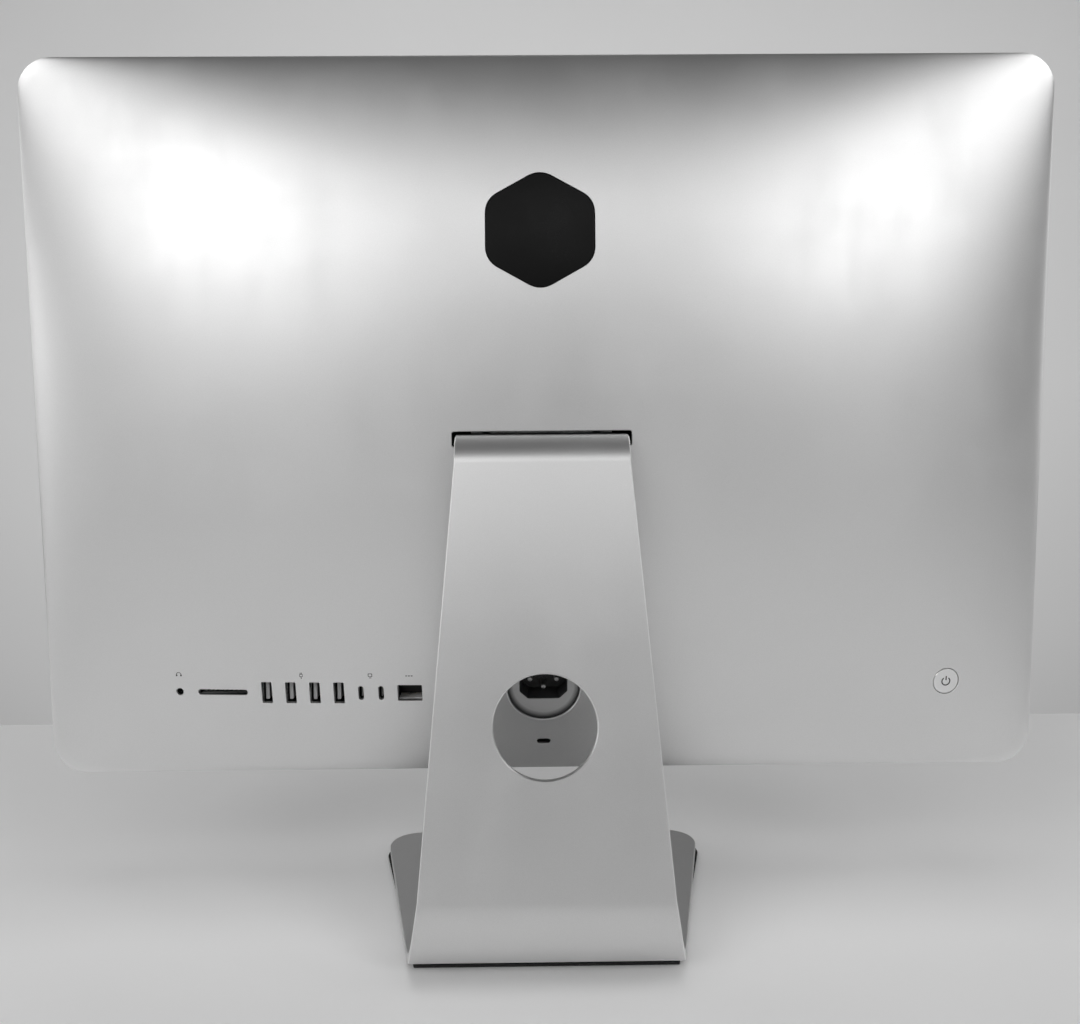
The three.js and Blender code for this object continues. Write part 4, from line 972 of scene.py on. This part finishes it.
def usb_a(i, x):
    node = "usb_a_port_%d" % (i + 1)
    y1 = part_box(node)[1].y / MM
    socket_can("usb_a_shell_%d" % (i + 1), node, rounded(5.3, 11.6, 0.35, x, PORT_Z, 3.0, 3), 1.0, STEEL)
    tongue = box_part(x - 0.05, x + 1.75, -0.2, y1 - 1.3, PORT_Z - 4.8, PORT_Z + 4.8, 0.25)
    detail("usb_a_tongue_%d" % (i + 1), [tongue], WHITE_PLASTIC, slot_name="grey_plastic")
    fingers = [
        box_part(x + 1.74, x + 1.87, 0.5, y1 - 1.9, PORT_Z + k * 2.3 - 0.5, PORT_Z + k * 2.3 + 0.5)
        for k in (-1.5, -0.5, 0.5, 1.5)
    ]
    detail("usb_a_contacts_%d" % (i + 1), fingers, GOLD, slot_name="brass")
    # Springs that press on the plug: two bent strips on the wide wall.
    strips = []
    for k in (-2.6, 2.6):
        z0, z1 = PORT_Z + k - 0.8, PORT_Z + k + 0.8
        strips.append(box_part(x - 2.62, x - 2.35, 1.2, y1 - 1.6, z0, z1, 0.1))
    detail("usb_a_springs_%d" % (i + 1), strips, DARK_STEEL, slot_name="steel")


def usb_c(i, x):
    node = "usb_c_port_%d" % (i + 1)
    y1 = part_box(node)[1].y / MM
    socket_can("usb_c_shell_%d" % (i + 1), node, rounded(2.6, 7.6, 1.25, x, PORT_Z, 3.0, 6), 1.0, STEEL)
    tongue = box_part(x - 0.35, x + 0.35, -0.2, y1 - 1.2, PORT_Z - 2.9, PORT_Z + 2.9, 0.15)
    detail("usb_c_tongue_%d" % (i + 1), [tongue], GREY_PLASTIC, slot_name="grey_plastic")
    fingers = []
    for side in (-1, 1):
        for k in range(-5, 6):
            x0, x1 = sorted((x + side * 0.34, x + side * 0.42))
            z = PORT_Z + k * 0.5
            fingers.append(box_part(x0, x1, 2.0, y1 - 1.7, z - 0.14, z + 0.14))
    detail("usb_c_contacts_%d" % (i + 1), fingers, GOLD, slot_name="brass")


def ethernet():
    x = 69.4
    node = "ethernet_port"
    y1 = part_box(node)[1].y / MM
    socket_can("network_shell", node, rounded(12.7, 8.8, 0.4, x, PORT_Z, 3.0, 3), 1.0, STEEL)
    # The floor that the plug slides on, with a groove for its latch, and the wall at the back.
    back = box_part(x - 6.3, x + 6.3, -0.3, 0.7, PORT_Z - 4.35, PORT_Z + 4.35, 0.1)
    detail("network_insert", [back], BLACK_PLASTIC, slot_name="black_plastic")
    floor_parts = [
        box_part(x - 6.25, x - 1.7, 0.7, y1 - 0.7, PORT_Z - 4.35, PORT_Z - 3.75, 0.12),
        box_part(x + 1.7, x + 6.25, 0.7, y1 - 0.7, PORT_Z - 4.35, PORT_Z - 3.75, 0.12),
        box_part(x - 1.7, x + 1.7, 0.7, y1 - 0.9, PORT_Z - 4.35, PORT_Z - 4.0),
    ]
    detail("network_floor", floor_parts, WHITE_PLASTIC, slot_name="grey_plastic")
    wires = []
    for k in range(8):
        wx = x + (k - 3.5) * 1.02
        path = []
        for s in range(9):
            t = s / 8
            path.append((0.7 + t * (y1 - 3.0), PORT_Z + 4.1 - 2.6 * (1 - t) ** 1.4 * (1 if t < 1 else 0)))
        rings = []
        for y, z in path:
            corners = ((-0.2, -0.18), (0.2, -0.18), (0.2, 0.18), (-0.2, 0.18))
            rings.append(np.array([(wx + across, y, z + upward) for across, upward in corners]))
        wires.append(stack(rings, "face", "face"))
    detail("network_contacts", wires, GOLD, slot_name="brass")


def card_slot():
    x = 167.8
    mouth = rounded(26.2, 2.8, 0.9, x, PORT_Z, 3.0, 4)
    socket_can("card_reader_mouth", "card_reader", mouth, 1.0, DARK_STEEL)
    y1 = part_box("card_reader")[1].y / MM
    low, high = PORT_Z - 1.12, PORT_Z - 0.95
    fingers = []
    for k in range(9):
        middle = x + (k - 4) * 2.5
        fingers.append(box_part(middle - 0.6, middle + 0.6, 1.0, y1 - 3.0, low, high))
    detail("card_contacts", fingers, NICKEL, slot_name="brass")
    shelf = box_part(x - 12.4, x + 12.4, 0.5, y1 - 0.3, PORT_Z - 1.38, PORT_Z - 1.12)
    detail("card_shelf", [shelf], CARD_GREY, slot_name="grey_plastic")


def jack():
    x = 190.9
    lo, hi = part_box("headphone_jack")
    y0, y1 = lo.y / MM, hi.y / MM

    def rings(*profile):
        return [at_y(circle(r, x, PORT_Z, 40), y) for r, y in profile]

    bore = 1.75
    wall = rings((3.2, y0), (3.2, y1 - 0.4), (2.9, y1), (1.95, y1), (bore, y1 - 0.3), (bore, y0 + 1.0))
    sleeve = stack(wall, "face", "face")
    ob = detail("jack_sleeve", [sleeve], BLACK_PLASTIC, slot_name="black_plastic")
    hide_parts("headphone_jack")
    collar = stack(rings((1.74, y1 - 1.4), (1.74, y1 - 0.5), (1.5, y1 - 0.35), (1.5, y1 - 1.5)), None, None)
    detail("jack_collar", [collar], NICKEL, slot_name="steel")


def inlet():
    """The dished ring of the mains inlet, the black socket in it and its three round pins."""
    floor = -3.5

    def sweep(profile, count=96):
        return [local(INLET, circle(r, count=count), d) for r, d in profile]

    hole = inlet_outline(0.35)
    bowl = [
        (18.55, -5.4), (18.6, -0.95), (18.5, -0.85), (18.35, -1.1), (18.2, -1.8),
        (17.8, -2.5), (17.2, -3.0), (16.4, -3.32), (15.4, -3.46), (14.0, floor),
    ]
    rings = sweep(bowl)
    verts, faces = stack(rings, "face", "fan")
    # The ring's colour paints shade onto the outer wall of its bowl.
    ring_ob = new_object("inlet_ring", verts, faces, [resin_with_painted_rim_shade("inlet_grey", INLET[3], INLET[2])], None)
    cutter = stack([local(INLET, hole, -9.0), local(INLET, hole, 2.0)], "face", "face")
    boolean(ring_ob, [cutter])
    shade(ring_ob, 30.0)
    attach(ring_ob, "display")
    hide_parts("inlet_socket")

    def fit(o, d):
        return local(INLET, o, d)

    outer, inner = inlet_outline(0.3), inlet_outline(0.0)
    shell = stack(
        [
            fit(inlet_outline(1.4), -16.8),
            fit(inlet_outline(1.4), floor - 2.2),
            fit(outer, floor - 2.0),
            fit(outer, floor - 0.35),
            fit(inlet_outline(0.2), floor - 0.15),
            fit(inner, floor - 0.45),
            fit(inner, -15.5),
        ],
        "face",
        "face",
    )
    ob = new_object("inlet_well", *shell, [WELL_GREY], None)
    shade(ob, 30.0)
    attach(ob, "display")
    # The raised island that the pins stand in.
    levels = ((-0.6, -15.6), (-0.6, -14.9), (-0.9, -14.6))
    island = stack([fit(inlet_outline(grow), d) for grow, d in levels], "face", "face")
    isle = new_object("inlet_floor", *island, [WELL_GREY], None)
    shade(isle, 30.0)
    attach(isle, "display")
    for node in ("inlet_pin_line", "inlet_pin_neutral", "inlet_pin_earth"):
        lo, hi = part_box(node)
        middle = (lo + hi) / 2 / MM
        across = float(np.dot(np.array(middle) - INLET[3], INLET[0]))
        upward = float(np.dot(np.array(middle) - INLET[3], INLET[1]))
        profile = [(1.38, -15.4), (1.38, -7.4), (1.25, -6.95), (0.95, -6.65), (0.5, -6.53)]
        rings = [local(INLET, circle(r, across, upward, 32), d) for r, d in profile]
        pin = new_object(node + "_round", *stack(rings, "face", "fan"), [PIN_METAL], None)
        shade(pin, 35.0)
        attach(pin, "display")
        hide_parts(node)
    return ring_ob


def inlet_outline(grow):
    """The socket's outline: a rectangle with its lower corners cut off, and every corner a little round."""
    w, h, c = 12.2 + grow, 8.0 + grow, 4.2
    corners = [(w, h), (-w, h), (-w, -h + c), (-w + c, -h), (w - c, -h), (w, -h + c)]
    radius = 0.7
    pts = []
    for i, p in enumerate(corners):
        p = np.array(p)
        before, after = np.array(corners[i - 1]), np.array(corners[(i + 1) % 6])
        pts += bend(toward(p, before, radius), p, toward(p, after, radius), 4)
    return np.array(pts)


def power_button():
    """A disc with a faintly dished face, a bright chamfer and the usual line-and-arc mark."""
    rings = []
    for r, dish in ((1.2, 0.10), (2.6, 0.095), (4.0, 0.08), (5.2, 0.05), (6.1, 0.02), (6.55, 0.0)):
        o = circle(r, count=72)
        rings.append(local(BUTTON, o, surface_depth(BUTTON, o) - dish - 0.03))
    for r, drop in ((6.72, 0.06), (6.9, 0.24)):
        o = circle(r, count=72)
        rings.append(local(BUTTON, o, surface_depth(BUTTON, o) - drop))
    rings.append(local(BUTTON, circle(6.9, count=72), -2.2))
    ob = new_object("button_cap", *stack(rings, "fan", "face"), [BUTTON_ALUMINIUM, CUT], None)
    shade(ob, 22.0)
    for p in ob.data.polygons:
        r = (np.array(p.center) / MM - BUTTON[3])
        radial = math.hypot(float(np.dot(r, BUTTON[0])), float(np.dot(r, BUTTON[1])))
        if 6.55 < radial < 6.9 and abs(float(np.dot(np.array(p.normal), BUTTON[2]))) > 0.3:
            p.material_index = 1
    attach(ob, "power_button")
    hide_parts("power_button")
    arc = []
    for i in range(29):
        a = math.radians(90 + 38 + (360 - 76) * i / 28)
        arc.append((math.cos(a), math.sin(a)))
    marks = [flat_stroke(BUTTON, [(2.2 * c, 2.2 * s - 0.15) for c, s in arc], 0.6, -0.06)]
    marks.append(flat_stroke(BUTTON, [(0.0, 0.4), (0.0, 2.75)], 0.6, -0.06))
    detail("button_mark", marks, MARK_GREY, "power_button", angle=50.0)
    return ob


def flat_stroke(frame_, points, width, lift, depth=0.12):
    """A thin inlaid line through points of a feature's own frame, following the dome."""
    p = np.array(points, float)
    t = np.gradient(p, axis=0)
    t /= np.linalg.norm(t, axis=1, keepdims=True)
    n = np.column_stack([-t[:, 1], t[:, 0]])
    a, b = p + n * width / 2, p - n * width / 2
    top_a, top_b = surface_depth(frame_, a) + lift, surface_depth(frame_, b) + lift
    pa, pb = local(frame_, a, top_a), local(frame_, b, top_b)
    qa, qb = local(frame_, a, top_a - depth), local(frame_, b, top_b - depth)
    rings = [np.array([pa[i], pb[i], qb[i], qa[i]]) for i in range(len(p))]
    return stack(rings, "face", "face")


def flat_dot(frame_, cx, cz, radius, lift, depth=0.1):
    o = circle(radius, cx, cz, 20)
    top = surface_depth(frame_, o) + lift
    return stack([local(frame_, o, top), local(frame_, o, top - depth)], "face", "face")


def port_marks():
    """Plain pictograms over the sockets: ear cups, a plug, a screen and three linked points."""
    lift = 0.012
    z = 134.6
    f = place(190.7, z)
    turns = [math.radians(a) for a in range(0, 181, 15)]
    arc = [(1.25 * math.cos(a), 1.15 * math.sin(a) - 0.1) for a in turns]
    cups = [flat_stroke(f, arc, 0.36, lift)]
    cups += [flat_stroke(f, [(x, -1.0), (x, -0.1)], 0.85, lift) for x in (-1.15, 1.15)]
    detail("mark_sound", cups, MARK_GREY, angle=50.0)
    f = place(125.7, z)
    plug = [
        flat_stroke(f, [(-0.75, -0.5), (0.75, -0.5), (0.75, 0.75), (-0.75, 0.75), (-0.75, -0.5)], 0.36, lift),
        flat_stroke(f, [(-0.35, 0.85), (-0.35, 1.75)], 0.36, lift),
        flat_stroke(f, [(0.35, 0.85), (0.35, 1.75)], 0.36, lift),
        flat_stroke(f, [(0.0, -0.6), (0.0, -1.8)], 0.36, lift),
    ]
    detail("mark_plug", plug, MARK_GREY, angle=50.0)
    f = place(89.7, z)
    display = [
        flat_stroke(f, [(-1.0, 1.2), (1.0, 1.2)], 0.34, lift),
        flat_stroke(f, [(-1.0, -0.4), (1.0, -0.4)], 0.34, lift),
        flat_stroke(f, [(-0.95, 1.2), (-0.95, -0.4)], 0.34, lift),
        flat_stroke(f, [(0.95, 1.2), (0.95, -0.4)], 0.34, lift),
        flat_stroke(f, [(-0.6, -1.1), (0.6, -1.1)], 0.34, lift),
    ]
    detail("mark_display", display, MARK_GREY, angle=50.0)
    f = place(69.5, z)
    link = [flat_dot(f, cx, 0.0, 0.36, lift) for cx in (-1.5, 0.0, 1.5)]
    link += [flat_stroke(f, [(a, 0.0), (b, 0.0)], 0.2, lift) for a, b in ((-1.1, -0.4), (0.4, 1.1))]
    detail("mark_network", link, MARK_GREY, angle=50.0)


# ------------------------------------------------------------------ build

rear_housing()
emblem_outline = hexagon(53.4, 59.4, 7.0, EMBLEM_Z)
dome_patch(
    "emblem", emblem_outline, (0, EMBLEM_Z), -0.02, 0.3, 1.7, GLOSS,
    "display", "radio_window", 24,
)
grille_insert()
glass = glass_outline(0.6, LOW_Z + 57.3)
slab(glass, FRONT_Y, GLASS_BACK, 0.35, "glass_front", SCREEN, "display", "cover_glass")
slab(chin_outline(), FRONT_Y, GLASS_BACK, 0.3, "chin_front", ALUMINIUM, "display", "chin_plate")
lens()
stand()
foot_pad()
for index, at_x in enumerate(USB_A):
    usb_a(index, at_x)
for index, at_x in enumerate(USB_C):
    usb_c(index, at_x)
ethernet()
card_slot()
jack()
inlet()
power_button()
port_marks()

CAD_LOOKS = {
    STEEL: "hinge_bracket hinge_shaft stand_screw_left stand_screw_right hinge_block_left "
    "hinge_block_right fan_motor clock_cell storage_drive",
    DARK_STEEL: "lock_plate",
    SPRING: "torsion_spring_left torsion_spring_right hinge_washer_left hinge_washer_right",
    COPPER: "heatsink",
    BLACK_PLASTIC: "speaker_left speaker_right speaker_grille_left intake_grille "
    "speaker_grille_right power_switch fan_housing drive_bracket lcd_panel",
    GREY_PLASTIC: "fan_impeller antenna",
    FOAM: "glass_adhesive mains_lead board_lead",
    BOARD: "logic_board memory_module_1 memory_module_2 wireless_card power_supply_board",
    CHIP: "camera_module microphone processor power_transformer power_capacitor",
}
for material, names in CAD_LOOKS.items():
    for node_name in names.split():
        node_mesh = frame["nodes"][node_name].data
        node_mesh.materials.clear()
        node_mesh.materials.append(material)

# ------------------------------------------------------------------ stage, light and camera


def stage_plane(name, corners, material):
    mesh = bpy.data.meshes.new(name)
    mesh.from_pydata(corners, [], [tuple(range(len(corners)))])
    ob = bpy.data.objects.new(name, mesh)
    bpy.context.scene.collection.objects.link(ob)
    mesh.materials.append(material)
    return ob


table_top = Nodes("table_top").set(Roughness=0.5)
table_top.wire(Base_Color=table_top.ramp(table_top.noise(3.0, 3.0), (0.3, grey(0.90)), (0.7, grey(0.93))))
wall_paint = Nodes("wall_paint").set(Roughness=0.9)
wall_paint.wire(Base_Color=wall_paint.ramp(wall_paint.noise(1.2, 2.0), (0.3, grey(0.84)), (0.7, grey(0.88))))
floor = stage_plane("floor", [(-3, -0.346, 0), (3, -0.346, 0), (3, 3.0, 0), (-3, 3.0, 0)], table_top.material)
wall = [(-4, -1.9, -1.5), (4, -1.9, -1.5), (4, -1.9, 3.5), (-4, -1.9, 3.5)]
backdrop = stage_plane("backdrop", wall, wall_paint.material)


def area_light(name, azimuth, elevation, distance, width, height, power, target=(0, 0.02, 0.28)):
    """A soft box. Azimuth 0 is behind the sockets, towards +Y, and positive towards +X."""
    a, e = math.radians(azimuth), math.radians(elevation)
    direction = Vector((math.sin(a) * math.cos(e), math.cos(a) * math.cos(e), math.sin(e)))
    data = bpy.data.lights.new(name, "AREA")
    data.shape = "RECTANGLE"
    data.size, data.size_y, data.energy = width, height, power
    ob = bpy.data.objects.new(name, data)
    ob.location = Vector(target) + direction * distance
    ob.rotation_euler = direction.to_track_quat("Z", "Y").to_euler()
    ob.visible_camera = False
    bpy.context.scene.collection.objects.link(ob)
    return ob


# A grey card that only reflections see; it stands before the screen. It is painted shade in the reflections:
# a dark sheet in place of the wall in the display's shadow, which the foot's top and the glass reflect.
reflection_shade_paint = Nodes("reflection_shade_felt").set(Roughness=1.0)
reflection_shade_paint.wire(Base_Color=reflection_shade_paint.ramp(reflection_shade_paint.noise(30.0, 3.0), (0.3, grey(0.26)), (0.7, grey(0.30))))
card = [(-1.1, -0.75, 0.02), (1.1, -0.75, 0.02), (1.1, -0.75, 1.1), (-1.1, -0.75, 1.1)]
reflection_shade_card = stage_plane("reflection_shade_card", card, reflection_shade_paint.material)
# No camera, diffuse or shadow ray meets the card, so it only paints shade into reflections.
reflection_shade_card.visible_camera = reflection_shade_card.visible_diffuse = reflection_shade_card.visible_shadow = False

stage_only = bpy.data.collections.new("stage_only")
stage_only.objects.link(floor)
stage_only.objects.link(backdrop)

area_light("soft_left", 34, 23, 2.2, 0.95, 0.9, 10.2)
area_light("soft_right", -37, 23, 2.2, 0.8, 0.9, 9.0)
area_light("soft_middle", 0, 28, 2.2, 1.0, 0.6, 3.6)
area_light("low_left", 72, 5, 2.2, 0.7, 0.5, 2.6)
area_light("side_left", 100, 12, 1.9, 0.9, 1.1, 3.0)
area_light("side_right", -100, 12, 1.9, 0.9, 1.1, 3.0)
area_light("high_right", -75, 42, 2.2, 0.7, 0.5, 2.4)
area_light("front_fill", 165, 40, 1.8, 1.2, 0.9, 3.0)
area_light("table_light", 0, 75, 1.5, 1.1, 1.0, 5.0).light_linking.receiver_collection = stage_only
wash = area_light("wall_light", 0, 0, 1.0, 4.0, 2.0, 14.5)
wash.location = (0, -0.62, 0.35)
wash.rotation_euler = (-math.pi / 2, 0, 0)
wash.light_linking.receiver_collection = stage_only

world = bpy.data.worlds.new("studio")
world.use_nodes = True
world.node_tree.nodes["Background"].inputs["Color"].default_value = (1, 1, 1, 1)
world.node_tree.nodes["Background"].inputs["Strength"].default_value = 0.10
bpy.context.scene.world = world
bpy.context.scene.view_settings.view_transform = "Standard"

yaw, pitch, roll, focal = -0.0100, 0.102, 0.008, 1055.0
forward = Vector((math.sin(yaw) * math.cos(pitch), -math.cos(yaw) * math.cos(pitch), -math.sin(pitch)))
right = Vector((-math.cos(yaw), -math.sin(yaw), 0.0))
down = forward.cross(right)
cam_x = right * math.cos(roll) + down * math.sin(roll)
cam_down = -right * math.sin(roll) + down * math.cos(roll)
camera_data = bpy.data.cameras.new("photo_view")
camera_data.sensor_width = 36.0
camera_data.lens = focal / 1080 * 36.0
camera_data.clip_start, camera_data.clip_end = 0.01, 50
camera = bpy.data.objects.new("photo_view", camera_data)
camera.matrix_world = Matrix.Translation(Vector((6.45, 552.0, 273.8)) * MM) @ Matrix((
    (cam_x.x, -cam_down.x, -forward.x, 0),
    (cam_x.y, -cam_down.y, -forward.y, 0),
    (cam_x.z, -cam_down.z, -forward.z, 0),
    (0, 0, 0, 1),
))
bpy.context.scene.collection.objects.link(camera)
bpy.context.scene.camera = camera

bpy.context.view_layer.update()
